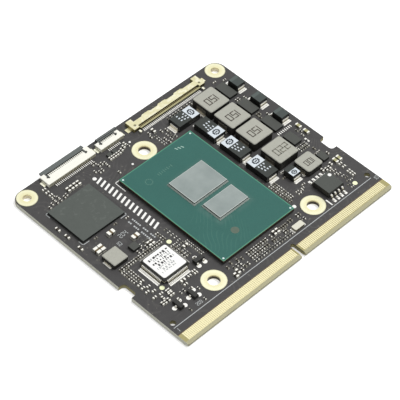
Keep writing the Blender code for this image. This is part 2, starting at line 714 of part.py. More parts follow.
def copies(name, mesh, matrices, collection):
    """One object that holds a copy of the mesh at each matrix."""
    bm = bmesh.new()
    for matrix in matrices:
        piece = mesh.copy()
        piece.transform(matrix)
        bm.from_mesh(piece)
        bpy.data.meshes.remove(piece)
    return object_from(name, bm, collection)


def spread(count, pitch):
    """Offsets of a row of equally spaced things about its middle."""
    return [(index - (count - 1) / 2) * pitch for index in range(count)]


def board_outline():
    """Board outline: a round-topped key slot in the card edge and round far corners."""
    half_key = KEY_WIDTH / 2
    key_top = CARD_EDGE + KEY_DEPTH - half_key
    near = NEAR_CORNER_RADIUS
    far = FAR_CORNER_RADIUS
    right_side = arc((RIGHT_EDGE - near, CARD_EDGE + near), near, 270, 360, 2)
    right_side += arc((RIGHT_EDGE - far, FAR_EDGE - far), far, 0, 90, 6)
    left_side = [(-x, y) for x, y in reversed(right_side)]
    key = [(KEY_OFFSET - half_key, CARD_EDGE)]
    key += arc((KEY_OFFSET, key_top), half_key, 180, 0, 6)
    key += [(KEY_OFFSET + half_key, CARD_EDGE)]
    return key + right_side + left_side


def side_notches(cutters):
    """Cutters for the retention notch in each side of the board."""
    size = (SIDE_NOTCH_DEPTH * 2, SIDE_NOTCH_WIDTH)
    mesh = outline_mesh(rounded_rectangle(*size, SIDE_NOTCH_RADIUS, 3), BOARD_THICKNESS * 2)
    notch_y = CARD_EDGE + SIDE_NOTCH_FROM_CARD_EDGE
    matrices = []
    for x in (LEFT_EDGE, RIGHT_EDGE):
        matrices.append(Matrix.Translation((x, notch_y, -BOARD_THICKNESS / 2)))
    return copies("side notches", mesh, matrices, cutters)


def contact_groups():
    """Left side of every card edge contact, as the group left of the key and the group right of it."""
    left_room = KEY_OFFSET - KEY_TO_CONTACT - LEFT_EDGE - CONTACT_END_MARGIN
    right_room = RIGHT_EDGE - CONTACT_END_MARGIN - KEY_OFFSET - KEY_TO_CONTACT
    left_count = int((left_room - CONTACT_WIDTH) / CONTACT_PITCH) + 1
    right_count = int((right_room - CONTACT_WIDTH) / CONTACT_PITCH) + 1
    left_end = KEY_OFFSET - KEY_TO_CONTACT - CONTACT_WIDTH
    right_start = KEY_OFFSET + KEY_TO_CONTACT
    left = [left_end - index * CONTACT_PITCH for index in reversed(range(left_count))]
    right = [right_start + index * CONTACT_PITCH for index in range(right_count)]
    return left, right


def edge_chamfer(name, surface, inward, cutters):
    """Wedge that chamfers the card edge, from the board's face at this height towards its middle."""
    start = Vector((CARD_EDGE + EDGE_CHAMFER_LENGTH, surface))
    slope = Vector((-EDGE_CHAMFER_LENGTH, inward * EDGE_CHAMFER_DEPTH))
    outside = start - slope
    below = start + slope * 2
    corner = Vector((below.x, outside.y))
    mesh = outline_mesh([tuple(outside), tuple(below), tuple(corner)], BOARD_LENGTH * 1.1)
    along = Matrix(((0, 0, 1, -BOARD_LENGTH * 0.55), (1, 0, 0, 0), (0, 1, 0, 0), (0, 0, 0, 1)))
    mesh.transform(along)
    wedge = bpy.data.objects.new(name, mesh)
    cutters.objects.link(wedge)
    return wedge


def ring_places():
    """Name, centre, outer diameter and bore of each plated mounting ring."""
    corner_x = RIGHT_EDGE - CORNER_RING_SIDE_INSET
    corner_y = FAR_EDGE - CORNER_RING_FAR_INSET
    near_left = (PACKAGE_X - COOLER_RING_SPAN, COOLER_RING_NEAR_Y)
    near_right = (PACKAGE_X + COOLER_RING_SPAN, COOLER_RING_NEAR_Y)
    corner = (CORNER_RING_DIAMETER, CORNER_RING_BORE)
    cooler = (COOLER_RING_DIAMETER, COOLER_RING_BORE)
    return (
        ("corner_ring_left", (-corner_x, corner_y), *corner),
        ("corner_ring_right", (corner_x, corner_y), *corner),
        ("cooler_ring_far", (PACKAGE_X, COOLER_RING_FAR_Y), *cooler),
        ("cooler_ring_near_left", near_left, *cooler),
        ("cooler_ring_near_right", near_right, *cooler),
    )


def make_board(parts, cutters):
    """Board with its holes, its chamfered card edge and its contacts on both faces."""
    board = outline_object("circuit_board", board_outline(), BOARD_THICKNESS, parts)
    bm = bmesh.new()
    pockets = bmesh.new()
    through = BOARD_THICKNESS * 2
    pocket = RING_PAD_THICKNESS + FIT_GAP
    for _, centre, diameter, bore in ring_places():
        add_cylinder(bm, bore / 2 + PLATING_WALL + FIT_GAP, -through, through, centre)
        add_cylinder(pockets, diameter / 2 + FIT_GAP, -through, pocket, centre)
    tooling_x = RIGHT_EDGE - TOOLING_HOLE_SIDE_INSET
    tooling_y = CARD_EDGE + TOOLING_HOLE_FROM_CARD_EDGE
    for side in (-1, 1):
        add_cylinder(bm, TOOLING_HOLE_DIAMETER / 2, -through, through, (side * tooling_x, tooling_y), 16)
    cut_or_join(board, object_from("board holes", bm, cutters), "DIFFERENCE")
    cut_or_join(board, object_from("ring pockets", pockets, cutters), "DIFFERENCE")
    cut_or_join(board, side_notches(cutters), "DIFFERENCE")
    cut_or_join(board, edge_chamfer("upper chamfer", BOARD_TOP, -1, cutters), "DIFFERENCE")
    cut_or_join(board, edge_chamfer("lower chamfer", 0.0, 1, cutters), "DIFFERENCE")
    cut_or_join(board, contact_grooves(cutters), "DIFFERENCE")
    return board_finish(board)


def contact_grooves(cutters):
    """Cutters for the bare laminate beside every card edge contact, on both faces of the board."""
    near = CARD_EDGE + CONTACT_FROM_EDGE
    far = near + CONTACT_LENGTH
    top = BOARD_TOP - CONTACT_THICKNESS
    grooves = []
    for columns in contact_groups():
        starts = [columns[0] - CONTACT_PITCH, *columns]
        for x in starts:
            start, end = x + CONTACT_WIDTH, x + CONTACT_PITCH
            grooves.append(((start, near, top), (end, far, BOARD_TOP * 2)))
            grooves.append(((start, near, -BOARD_TOP), (end, far, CONTACT_THICKNESS)))
    return boxes("contact grooves", grooves, cutters)


def make_ring(name, centre, diameter, bore, parts):
    """Plated ring: a pad on the board's top and one flush with its underside, joined by a barrel."""
    inner = bore / 2
    barrel = inner + PLATING_WALL
    outer = diameter / 2
    high = BOARD_TOP + FIT_GAP
    profile = [
        (outer, high + RING_PAD_THICKNESS),
        (outer, high),
        (barrel, high),
        (barrel, RING_PAD_THICKNESS),
        (outer, RING_PAD_THICKNESS),
        (outer, 0.0),
        (inner, 0.0),
        (inner, high + RING_PAD_THICKNESS),
    ]
    bm = bmesh.new()
    corners = [bm.verts.new((x, 0.0, z)) for x, z in profile]
    for index, corner in enumerate(corners):
        bm.edges.new((corner, corners[(index + 1) % len(corners)]))
    ring = object_from(name, bm, parts)
    screw = ring.modifiers.new("turned", "SCREW")
    screw.axis = "Z"
    screw.steps = ROUND_SIDES
    screw.render_steps = ROUND_SIDES
    screw.use_merge_vertices = True
    screw.merge_threshold = 0.000001
    screw.use_smooth_shade = False
    ring.location = (*centre, 0.0)
    return gold_finish(ring)


def slab(name, size, height, place, parts, corner=0.0, ease=0.0):
    """A block standing on its place, with round upright corners and eased edges where given."""
    if corner:
        obj = outline_object(name, rounded_rectangle(size[0], size[1], corner), height, parts)
    else:
        low = (-size[0] / 2, -size[1] / 2, 0.0)
        obj = boxes(name, [(low, (size[0] / 2, size[1] / 2, height))], parts)
    if ease:
        ease_edges(obj, ease)
    obj.location = place
    return obj


def drafted_block(name, size, height, draft, collection):
    """A moulded block, widest at mid height, whose sides lean in by the draft above and below."""
    bm = bmesh.new()
    add_box(bm, (-size[0] / 2, -size[1] / 2, 0.0), (size[0] / 2, size[1] / 2, height))
    middle = Vector((0, 0, height / 2))
    geometry = bm.verts[:] + bm.edges[:] + bm.faces[:]
    bmesh.ops.bisect_plane(bm, geom=geometry, plane_co=middle, plane_no=(0, 0, 1))
    for vertex in bm.verts:
        if abs(vertex.co.z - middle.z) > height / 4:
            vertex.co.x -= math.copysign(draft, vertex.co.x)
            vertex.co.y -= math.copysign(draft, vertex.co.y)
    return object_from(name, bm, collection)


def make_processor(parts):
    """Package substrate with two bare dies, each inside its collar of underfill."""
    floor = BOARD_TOP + PACKAGE_BALL_HEIGHT
    place = (PACKAGE_X, PACKAGE_Y, floor)
    size = (PACKAGE_WIDTH, PACKAGE_DEPTH)
    package_finish(slab("processor_substrate", size, PACKAGE_THICKNESS, place, parts))
    top = floor + PACKAGE_THICKNESS + FIT_GAP
    small_y = LARGE_DIE_OFFSET_Y - LARGE_DIE_DEPTH / 2 - DIE_SPACING - SMALL_DIE_DEPTH / 2
    for label, size, offset in (
        ("large", (LARGE_DIE_WIDTH, LARGE_DIE_DEPTH), (LARGE_DIE_OFFSET_X, LARGE_DIE_OFFSET_Y)),
        ("small", (SMALL_DIE_WIDTH, SMALL_DIE_DEPTH), (SMALL_DIE_OFFSET_X, small_y)),
    ):
        place = (PACKAGE_X + offset[0], PACKAGE_Y + offset[1], top)
        silicon_finish(slab(f"processor_die_{label}", size, DIE_HEIGHT, place, parts, ease=PACKAGE_EASE))
        make_underfill(f"underfill_{label}", size, place, parts)


def make_underfill(name, size, place, parts):
    """Sloped collar of epoxy round the foot of a die."""
    inner = (size[0] / 2 + FIT_GAP, size[1] / 2 + FIT_GAP)
    bm = bmesh.new()
    loops = []
    for grow, z in (
        (0.0, UNDERFILL_HEIGHT),
        (UNDERFILL_LIP, UNDERFILL_HEIGHT),
        (UNDERFILL_REACH, UNDERFILL_LIP),
        (UNDERFILL_REACH, 0.0),
        (0.0, 0.0),
    ):
        half_x = inner[0] + grow
        half_y = inner[1] + grow
        corners = ((-half_x, -half_y), (half_x, -half_y), (half_x, half_y), (-half_x, half_y))
        loops.append([bm.verts.new((px, py, z)) for px, py in corners])
    for ring, loop in enumerate(loops):
        below = loops[(ring + 1) % len(loops)]
        for side in range(4):
            after = (side + 1) % 4
            bm.faces.new((loop[side], below[side], below[after], loop[after]))
    bmesh.ops.recalc_face_normals(bm, faces=bm.faces)
    collar = object_from(name, bm, parts)
    collar.location = place
    return underfill_finish(collar)


def gull_lead(reach, standoff, half_height, thickness, width):
    """A gull-wing lead that leaves a body's side at y 0, steps down and ends in a flat foot."""
    foot = reach * LEAD_FOOT_SHARE
    shoulder = reach * (1 - LEAD_FOOT_SHARE) / 2
    exit_height = standoff + half_height
    sole = thickness / 2
    path = [
        (-thickness * 2, exit_height),
        (shoulder, exit_height),
        (reach - foot, sole),
        (reach, sole),
    ]
    return strip_mesh(path, thickness, width)


def leaded_package(name, size, height, standoff, rows, lead, parts, cutters):
    """A moulded body with rows of leads joined to its sides.

    Each row is a turn about Z, the body's half size that way, and the offsets along the side.
    """
    body = drafted_block(name, size, height, MOULD_DRAFT, parts)
    body.data.transform(Matrix.Translation((0, 0, standoff)))
    matrices = []
    for turn, half, offsets in rows:
        for offset in offsets:
            matrices.append(Matrix.Rotation(turn, 4, "Z") @ Matrix.Translation((offset, half, 0)))
    cut_or_join(body, copies(f"{name} leads", lead, matrices, cutters), "UNION")
    return body


def make_controller(parts, cutters):
    """Square leaded controller with a paper label on it."""
    offsets = spread(CONTROLLER_LEADS, CONTROLLER_LEAD_PITCH)
    rows = [(turn * QUARTER, CONTROLLER_SIDE / 2, offsets) for turn in range(4)]
    lead = gull_lead(
        CONTROLLER_LEAD_REACH,
        CONTROLLER_STANDOFF,
        CONTROLLER_HEIGHT / 2,
        CONTROLLER_LEAD_THICKNESS,
        CONTROLLER_LEAD_WIDTH,
    )
    size = (CONTROLLER_SIDE, CONTROLLER_SIDE)
    body = leaded_package(
        "controller", size, CONTROLLER_HEIGHT, CONTROLLER_STANDOFF, rows, lead, parts, cutters
    )
    mould_finish(put(body, (CONTROLLER_X, CONTROLLER_Y, SEAT)))
    side = CONTROLLER_SIDE - LABEL_MARGIN * 2
    top = SEAT + CONTROLLER_STANDOFF + CONTROLLER_HEIGHT + FIT_GAP
    place = (CONTROLLER_X, CONTROLLER_Y, top)
    paper_finish(slab("controller_label", (side, side), LABEL_THICKNESS, place, parts, LABEL_CORNER))


def make_flash(parts, cutters):
    """Flash memory with four leads on its near and far sides."""
    offsets = spread(FLASH_LEADS, FLASH_LEAD_PITCH)
    rows = [(turn * QUARTER, FLASH_DEPTH / 2, offsets) for turn in (0, 2)]
    lead = gull_lead(
        FLASH_LEAD_REACH, FLASH_STANDOFF, FLASH_HEIGHT / 2, FLASH_LEAD_THICKNESS, FLASH_LEAD_WIDTH
    )
    size = (FLASH_WIDTH, FLASH_DEPTH)
    body = leaded_package("flash_memory", size, FLASH_HEIGHT, FLASH_STANDOFF, rows, lead, parts, cutters)
    mould_finish(put(body, (FLASH_X, FLASH_Y, SEAT)))


def make_transistors(parts, cutters):
    """Small three-lead transistors."""
    lead = gull_lead(
        TRANSISTOR_LEAD_REACH,
        TRANSISTOR_STANDOFF,
        TRANSISTOR_HEIGHT / 2,
        CONTROLLER_LEAD_THICKNESS,
        TRANSISTOR_LEAD_WIDTH,
    )
    half = TRANSISTOR_WIDTH / 2
    rows = [(0.0, half, [0.0]), (math.pi, half, spread(2, TRANSISTOR_LEAD_PITCH))]
    size = (TRANSISTOR_LENGTH, TRANSISTOR_WIDTH)
    low_x = CONTROLLER_X - TRANSISTOR_SHIFT
    places = (
        (TRANSISTOR_X, TRANSISTOR_Y, 0),
        (low_x - TRANSISTOR_SPACING, LOW_TRANSISTOR_Y, 1),
        (low_x, LOW_TRANSISTOR_Y, 1),
    )
    for number, (x, y, turns) in enumerate(places, start=1):
        name = f"transistor_{number}"
        body = leaded_package(
            name, size, TRANSISTOR_HEIGHT, TRANSISTOR_STANDOFF, rows, lead, parts, cutters
        )
        mould_finish(put(body, (x, y, SEAT), turns))


def make_inductor(name, size, height, corner, terminal, place, parts, cutters):
    """Moulded inductor with a terminal plate, given by its width and height, on its left and right."""
    body = slab(name, size, height, place, parts, corner, INDUCTOR_EASE)
    half_width, top = terminal[0] / 2, terminal[1]
    plates = []
    for side in (-1, 1):
        outer = side * (size[0] / 2 + TERMINAL_THICKNESS)
        inner = side * (size[0] / 2 - TERMINAL_THICKNESS)
        plates.append(((min(outer, inner), -half_width, SINK), (max(outer, inner), half_width, top)))
    cut_or_join(body, boxes(f"{name} terminals", plates, cutters), "UNION")
    return ferrite_finish(put(body, place))


def make_inductors(parts, cutters):
    """Column of four power inductors, the smaller one below it and the input inductor at the left."""
    size = (INDUCTOR_SIDE, INDUCTOR_SIDE)
    terminal = (INDUCTOR_TERMINAL_WIDTH, INDUCTOR_TERMINAL_HEIGHT)
    for number, y in enumerate(INDUCTOR_ROWS, start=1):
        name = f"power_inductor_{number}"
        place = (INDUCTOR_X, y, SEAT)
        make_inductor(name, size, INDUCTOR_HEIGHT, INDUCTOR_CORNER, terminal, place, parts, cutters)
    size = (SMALL_INDUCTOR_SIDE, SMALL_INDUCTOR_SIDE)
    terminal = (INDUCTOR_TERMINAL_WIDTH, SMALL_TERMINAL_HEIGHT)
    place = (SMALL_INDUCTOR_X, SMALL_INDUCTOR_Y, SEAT)
    height = SMALL_INDUCTOR_HEIGHT
    make_inductor("small_inductor", size, height, SMALL_INDUCTOR_CORNER, terminal, place, parts, cutters)
    size = (INPUT_INDUCTOR_WIDTH, INPUT_INDUCTOR_DEPTH)
    terminal = (INPUT_TERMINAL_WIDTH, INPUT_TERMINAL_HEIGHT)
    place = (INPUT_INDUCTOR_X, INPUT_INDUCTOR_Y, SEAT)
    height = INPUT_INDUCTOR_HEIGHT
    make_inductor("input_inductor", size, height, INPUT_INDUCTOR_CORNER, terminal, place, parts, cutters)


def make_capacitor(name, size, terminal_width, place, quarter_turns, parts, cutters):
    """Polymer capacitor lying along Y, with a folded terminal out of each end."""
    width, length = size
    body = drafted_block(name, (width, length), CAPACITOR_HEIGHT, CAPACITOR_DRAFT, parts)
    rise = CAPACITOR_TERMINAL_HEIGHT
    half = TERMINAL_THICKNESS / 2
    path = [(-CAPACITOR_DRAFT * 2, rise), (half, rise), (half, half), (CAPACITOR_FOOT_REACH, half)]
    terminal = strip_mesh(path, TERMINAL_THICKNESS, terminal_width)
    matrices = []
    for turn in (0, 2):
        shift = Matrix.Translation((0, length / 2, 0))
        matrices.append(Matrix.Rotation(turn * QUARTER, 4, "Z") @ shift)
    cut_or_join(body, copies(f"{name} terminals", terminal, matrices, cutters), "UNION")
    return resin_finish(put(body, place, quarter_turns))


def make_capacitors(parts, cutters):
    """Three polymer capacitors beside the package, one across them, and the short ones."""
    size = (CAPACITOR_WIDTH, CAPACITOR_LENGTH)
    width = CAPACITOR_TERMINAL_WIDTH
    place = (CROSS_CAPACITOR_X, CROSS_CAPACITOR_Y, SEAT)
    make_capacitor("polymer_capacitor_1", size, width, place, 1, parts, cutters)
    for number, y in enumerate(CAPACITOR_ROWS, start=2):
        place = (CAPACITOR_X, y, SEAT)
        make_capacitor(f"polymer_capacitor_{number}", size, width, place, 0, parts, cutters)
    size = (SHORT_CAPACITOR_WIDTH, SHORT_CAPACITOR_LENGTH)
    width = SHORT_CAPACITOR_TERMINAL_WIDTH
    place = (SMALL_CAPACITOR_X, SMALL_CAPACITOR_Y, SEAT)
    make_capacitor("small_capacitor", size, width, place, 0, parts, cutters)
    for number, (row, shift) in enumerate(zip(INDUCTOR_ROWS, EDGE_CAPACITOR_SHIFTS), start=1):
        place = (EDGE_CAPACITOR_X, row + shift, SEAT)
        make_capacitor(f"edge_capacitor_{number}", size, width, place, 0, parts, cutters)


def flat_package(name, size, height, x, y, parts):
    """A leadless package with its edges just broken."""
    return mould_finish(slab(name, size, height, (x, y, SEAT), parts, ease=PACKAGE_EASE))


def make_flat_packages(parts):
    """Power stages, regulators, protection chips, memory package and crystal."""
    height = FLAT_PACKAGE_HEIGHT
    size = (POWER_STAGE_WIDTH, POWER_STAGE_LENGTH)
    for number, (row, shift) in enumerate(zip(INDUCTOR_ROWS, POWER_STAGE_SHIFTS), start=1):
        flat_package(f"power_stage_{number}", size, height, POWER_STAGE_X, row + shift, parts)
    size = (UPPER_REGULATOR_WIDTH, UPPER_REGULATOR_LENGTH)
    flat_package("regulator_upper", size, height, UPPER_REGULATOR_X, UPPER_REGULATOR_Y, parts)
    size = (LOWER_REGULATOR_WIDTH, LOWER_REGULATOR_LENGTH)
    flat_package("regulator_lower", size, height, LOWER_REGULATOR_X, LOWER_REGULATOR_Y, parts)
    size = (LEFT_REGULATOR_WIDTH, LEFT_REGULATOR_LENGTH)
    flat_package("regulator_left", size, height, LEFT_REGULATOR_X, LEFT_REGULATOR_Y, parts)
    size = (PROTECTION_WIDTH, PROTECTION_DEPTH)
    for number, offset in enumerate(spread(2, PROTECTION_WIDTH + PROTECTION_SPACING), start=1):
        x = PROTECTION_X + offset
        flat_package(f"protection_chip_{number}", size, PROTECTION_HEIGHT, x, PROTECTION_Y, parts)
    size = (MEMORY_WIDTH, MEMORY_DEPTH)
    place = (MEMORY_X, MEMORY_Y, BOARD_TOP + MEMORY_BALL_HEIGHT)
    memory_finish(slab("memory_package", size, MEMORY_THICKNESS, place, parts, ease=PACKAGE_EASE))
    size = (CRYSTAL_WIDTH, CRYSTAL_DEPTH)
    place = (CRYSTAL_X, CRYSTAL_Y, SEAT)
    ceramic_finish(slab("crystal", size, CRYSTAL_HEIGHT, place, parts, CRYSTAL_CORNER, PACKAGE_EASE))


def between(start, end, near, far, low, high):
    """Corners of a box whose X limits may come in either order."""
    return (min(start, end), near, low), (max(start, end), far, high)


def film_housing(kind, place, parts, cutters):
    """Housing of a film-cable connector.

    A floor and a roof leave the cable's mouth between them. The roof ends in a comb over the contacts,
    and each end block holds a slot for the lid's arm and a socket for its pivot.
    """
    half = kind.length / 2
    name = f"{kind.prefix}_connector_housing"
    housing = boxes(name, [((-half, 0, 0), (half, kind.depth, FILM_HEIGHT))], parts)
    ease_edges(housing, FILM_EASE)
    above = FILM_HEIGHT * 2
    beyond = kind.depth * 2
    outer = kind.half_lid + HINGE_GAP
    inner = kind.half_lid - LID_ARM_WIDTH - HINGE_GAP
    mouth = inner - HINGE_GAP
    arm_end = kind.axis - math.hypot(LID_ARM_BACK, LID_THICKNESS / 2) - HINGE_GAP
    mouth_top = FILM_FLOOR + FILM_MOUTH_HEIGHT
    comb = FILM_COMB_WIDTH / 2
    comb_start = kind.roof - FILM_COMB_LENGTH
    socket = PIVOT_RADIUS + HINGE_GAP
    near, far = kind.axis - socket, kind.axis + socket
    socket_low = LID_AXIS_HEIGHT - socket
    columns = spread(kind.contacts, FILM_PITCH)
    sides = (-1, 1)
    cuts = {
        "recess": [((-outer, kind.roof, FILM_FLOOR), (outer, beyond, above))],
        "mouth": [((-mouth, FILM_MOUTH_BACK, FILM_FLOOR), (mouth, beyond, mouth_top))],
        "comb": [((x - comb, comb_start, FILM_FLOOR + SINK), (x + comb, beyond, above)) for x in columns],
        "arm slots": [between(s * inner, s * outer, arm_end, beyond, FILM_FLOOR, above) for s in sides],
        "pivot sockets": [
            between(s * (outer - SINK), s * (outer + PIVOT_LENGTH), near, far, socket_low, above)
            for s in sides
        ],
    }
    for label, corners in cuts.items():
        cut_or_join(housing, boxes(f"{kind.prefix} {label}", corners, cutters), "DIFFERENCE")
    tail = FILM_TAIL_WIDTH / 2
    tails = [((x - tail, -FILM_TAIL_LENGTH, 0), (x + tail, SINK, FILM_TAIL_THICKNESS)) for x in columns]
    cut_or_join(housing, boxes(f"{kind.prefix} tails", tails, cutters), "UNION")
    return white_finish(put(housing, place))


def film_lid(kind, place, parts, cutters):
    """Flip lid: a bar behind the roof, carried by two arms that pivot in the end blocks.

    The bar reaches past the arms by a lip at each side and may carry a round grip along its tip.
    """
    half = kind.half_lid
    left, right = -half - kind.lips[0], half + kind.lips[1]
    tip = kind.lid_tip - kind.axis
    arm = half - LID_ARM_WIDTH
    bar = kind.roof + LID_BAR_START - kind.axis
    past_ends = kind.depth + HINGE_GAP * 1.5 - kind.axis
    thin = LID_THICKNESS / 2
    low, high = -LID_THICKNESS, LID_THICKNESS
    name = f"{kind.prefix}_connector_lid"
    lid = boxes(name, [((left, -LID_ARM_BACK, -thin), (right, tip, thin))], parts)
    window = [((-arm, low, low), (arm, bar, high))]
    ends = [
        between(-half, left * 2, low, past_ends, low, high),
        between(half, right * 2, low, past_ends, low, high),
    ]
    cut_or_join(lid, boxes(f"{kind.prefix} lid window", window, cutters), "DIFFERENCE")
    cut_or_join(lid, boxes(f"{kind.prefix} lid ends", ends, cutters), "DIFFERENCE")
    bm = bmesh.new()
    for side in (-1, 1):
        start = side * (half - LID_ARM_WIDTH / 2)
        end = side * (half + PIVOT_LENGTH - HINGE_GAP)
        add_cylinder(bm, PIVOT_RADIUS, min(start, end), max(start, end), sides=ROUND_SIDES // 2)
    pivots = object_from(f"{kind.prefix} pivots", bm, cutters)
    pivots.data.transform(Matrix.Rotation(QUARTER, 4, "Y"))
    cut_or_join(lid, pivots, "UNION")
    if kind.grip_radius:
        bm = bmesh.new()
        add_cylinder(bm, kind.grip_radius, left, right)
        grip = object_from(f"{kind.prefix} grip", bm, cutters)
        grip.data.transform(Matrix.Rotation(QUARTER, 4, "Y"))
        grip.data.transform(Matrix.Translation((0, tip - kind.grip_radius, kind.grip_rise)))
        cut_or_join(lid, grip, "UNION")
    axis = (place[0], place[1] + kind.axis, place[2] + LID_AXIS_HEIGHT)
    return lid_finish(put(lid, axis))


def solder_tab(name, place, side, parts):
    """Folded tab that holds a connector's end to the board."""
    path = [(side * TAB_WIDTH, TAB_THICKNESS / 2), (side * TAB_THICKNESS / 2, TAB_THICKNESS / 2)]
    path += [(side * TAB_THICKNESS / 2, TAB_HEIGHT)]
    mesh = strip_mesh(path, TAB_THICKNESS, TAB_DEPTH)
    mesh.transform(Matrix.Rotation(-QUARTER, 4, "Z"))
    tab = bpy.data.objects.new(name, mesh)
    parts.objects.link(tab)
    tab.location = place
    return tin_finish(tab)


def make_film_connector(kind, x, parts, cutters):
    """A film-cable connector: housing, flip lid and a solder tab at each end."""
    place = (x, FAR_EDGE - kind.front_inset, SEAT)
    film_housing(kind, place, parts, cutters)
    film_lid(kind, place, parts, cutters)
    for label, side in (("left", -1), ("right", 1)):
        tab_place = (x + side * (kind.length / 2 + FIT_GAP), place[1] + kind.depth / 2, SEAT)
        solder_tab(f"{kind.prefix}_connector_tab_{label}", tab_place, side, parts)


def make_display_connector(parts, cutters):
    """Fine-pitch display cable connector: insulator with a front rail, folded shell and end posts."""
    place = (DISPLAY_X, DISPLAY_FRONT, SEAT)
    half = DISPLAY_LENGTH / 2
    wall = DISPLAY_DEPTH - DISPLAY_WALL_DEPTH
    base = DISPLAY_BASE_HEIGHT
    name = "display_connector_insulator"
    insulator = boxes(name, [((-half, 0, 0), (half, DISPLAY_DEPTH, base))], parts)
    under_shell = DISPLAY_HEIGHT - SHELL_THICKNESS - FIT_GAP
    columns = spread(DISPLAY_CONTACTS, DISPLAY_PITCH)
    thin = DISPLAY_CONTACT_WIDTH / 2
    rail = DISPLAY_RAIL_DEPTH
    joins = {
        "rail": [((-half, 0, SINK), (half, rail, DISPLAY_RAIL_HEIGHT))],
        "wall": [((-half, wall, SINK), (half, DISPLAY_DEPTH, under_shell))],
        "beams": [
            ((x - thin, rail - SINK, base - SINK), (x + thin, wall + SINK, base + SINK)) for x in columns
        ],
        "tails": [
            ((x - thin, -DISPLAY_TAIL_LENGTH, 0), (x + thin, SINK, DISPLAY_TAIL_THICKNESS))
            for x in columns
        ],
    }
    for label, corners in joins.items():
        cut_or_join(insulator, boxes(f"display {label}", corners, cutters), "UNION")
    finish(put(insulator, place), (0.10, 0.09, 0.05), 0.5)
    make_shell(place, half, parts, cutters)
    for label, side in (("left", -1), ("right", 1)):
        post_place = (DISPLAY_X + side * (half + POST_WIDTH), DISPLAY_FRONT - POST_DEPTH / 2, SEAT)
        post = slab(f"display_connector_post_{label}", (POST_WIDTH, POST_DEPTH), base, post_place, parts)
        tin_finish(post)


def scallop(x, edge):
    """Outline of one flat-topped bump on the shell's flange."""
    foot = SHELL_SCALLOP_LENGTH / 2
    top = foot - SHELL_SCALLOP_SLOPE
    inside = edge - SHELL_SCALLOP_RISE
    outside = edge + SHELL_SCALLOP_RISE
    right = [(x + foot, inside), (x + foot, edge), (x + top, outside)]
    left = [(x - top, outside), (x - foot, edge), (x - foot, inside)]
    return right + left


def make_shell(place, half, parts, cutters):
    """Folded sheet shell: top plate, rear wall and a flange with scallops, with a lug at each end."""
    top = DISPLAY_HEIGHT - SHELL_THICKNESS / 2
    back = DISPLAY_DEPTH + FIT_GAP + SHELL_THICKNESS / 2
    front = DISPLAY_DEPTH - SHELL_PLATE_DEPTH
    low = SHELL_THICKNESS / 2
    edge = back + SHELL_FLANGE
    path = [(front, top), (back, top), (back, low), (edge, low)]
    width = (half + SHELL_OVERHANG) * 2
    shell = bpy.data.objects.new("display_connector_shell", strip_mesh(path, SHELL_THICKNESS, width))
    parts.objects.link(shell)
    bm = bmesh.new()
    for x in spread(SHELL_SCALLOPS, SHELL_SCALLOP_PITCH):
        mesh = outline_mesh(scallop(x, edge), SHELL_THICKNESS)
        bm.from_mesh(mesh)
        bpy.data.meshes.remove(mesh)
    cut_or_join(shell, object_from("scallops", bm, cutters), "UNION")
    lug_end = half + SHELL_LUG_LENGTH
    pad_end = lug_end + SHELL_PAD_LENGTH
    lug_far = SHELL_LUG_START + SHELL_LUG_DEPTH
    pad_near = DISPLAY_DEPTH / 2
    pad_far = pad_near + SHELL_PAD_DEPTH
    lugs = [
        between(s * (half + FIT_GAP), s * lug_end, SHELL_LUG_START, lug_far, 0, DISPLAY_HEIGHT)
        for s in (-1, 1)
    ]
    pads = [
        between(s * (lug_end - SINK), s * pad_end, pad_near, pad_far, 0, SHELL_THICKNESS) for s in (-1, 1)
    ]
    cut_or_join(shell, boxes("shell lugs", lugs, cutters), "UNION")
    cut_or_join(shell, boxes("shell pads", pads, cutters), "UNION")
    return gold_finish(put(shell, place))


def main():
    """Build every piece."""
    clear_scene()
    parts = new_collection("system_on_module")
    cutters = new_collection("cutters")
    make_board(parts, cutters)
    for name, centre, diameter, bore in ring_places():
        make_ring(name, centre, diameter, bore, parts)
    make_processor(parts)
    make_controller(parts, cutters)
    make_flash(parts, cutters)
    make_transistors(parts, cutters)
    make_inductors(parts, cutters)
    make_capacitors(parts, cutters)
    make_flat_packages(parts)
    make_film_connector(WIDE, WIDE_X, parts, cutters)
    make_film_connector(NARROW, NARROW_X, parts, cutters)
    make_display_connector(parts, cutters)


main()
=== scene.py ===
"""Looks of the card-edge system on module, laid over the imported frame.

X runs along the card edge, which faces -Y, the connectors stand along +Y and Z is up. The origin is the
centre of the board's underside. Sizes and places are in millimetres, and MM turns them into metres; only
the floor and the lamps are placed in metres.
"""
import math
import random
from functools import partial, reduce

import bmesh
import bpy
from mathutils import Matrix, Vector


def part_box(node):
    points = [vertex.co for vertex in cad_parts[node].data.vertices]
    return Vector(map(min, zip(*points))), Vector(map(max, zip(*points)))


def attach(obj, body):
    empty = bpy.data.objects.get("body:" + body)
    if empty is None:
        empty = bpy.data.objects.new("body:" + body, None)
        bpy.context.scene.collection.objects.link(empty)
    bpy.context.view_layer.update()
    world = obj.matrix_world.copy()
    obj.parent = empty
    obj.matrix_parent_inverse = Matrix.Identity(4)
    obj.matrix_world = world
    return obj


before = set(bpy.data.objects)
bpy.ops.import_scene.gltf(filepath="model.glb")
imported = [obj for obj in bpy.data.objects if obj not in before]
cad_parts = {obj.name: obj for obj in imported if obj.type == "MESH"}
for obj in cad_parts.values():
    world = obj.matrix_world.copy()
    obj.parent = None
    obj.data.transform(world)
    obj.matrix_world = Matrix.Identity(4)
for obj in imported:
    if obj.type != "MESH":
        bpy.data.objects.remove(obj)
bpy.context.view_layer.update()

MM = 0.001
BODY = "module"
DRAW = random.Random(11)

# The board's upper face, and how far print reaches into the face that it lies on
TOP = 1.2
SINK = 0.005

# Lower and upper level of print on the board and of thin solder
BOARD_INK = (TOP - SINK, TOP + 0.012)
SOLDER = (TOP - 0.01, TOP + 0.035)

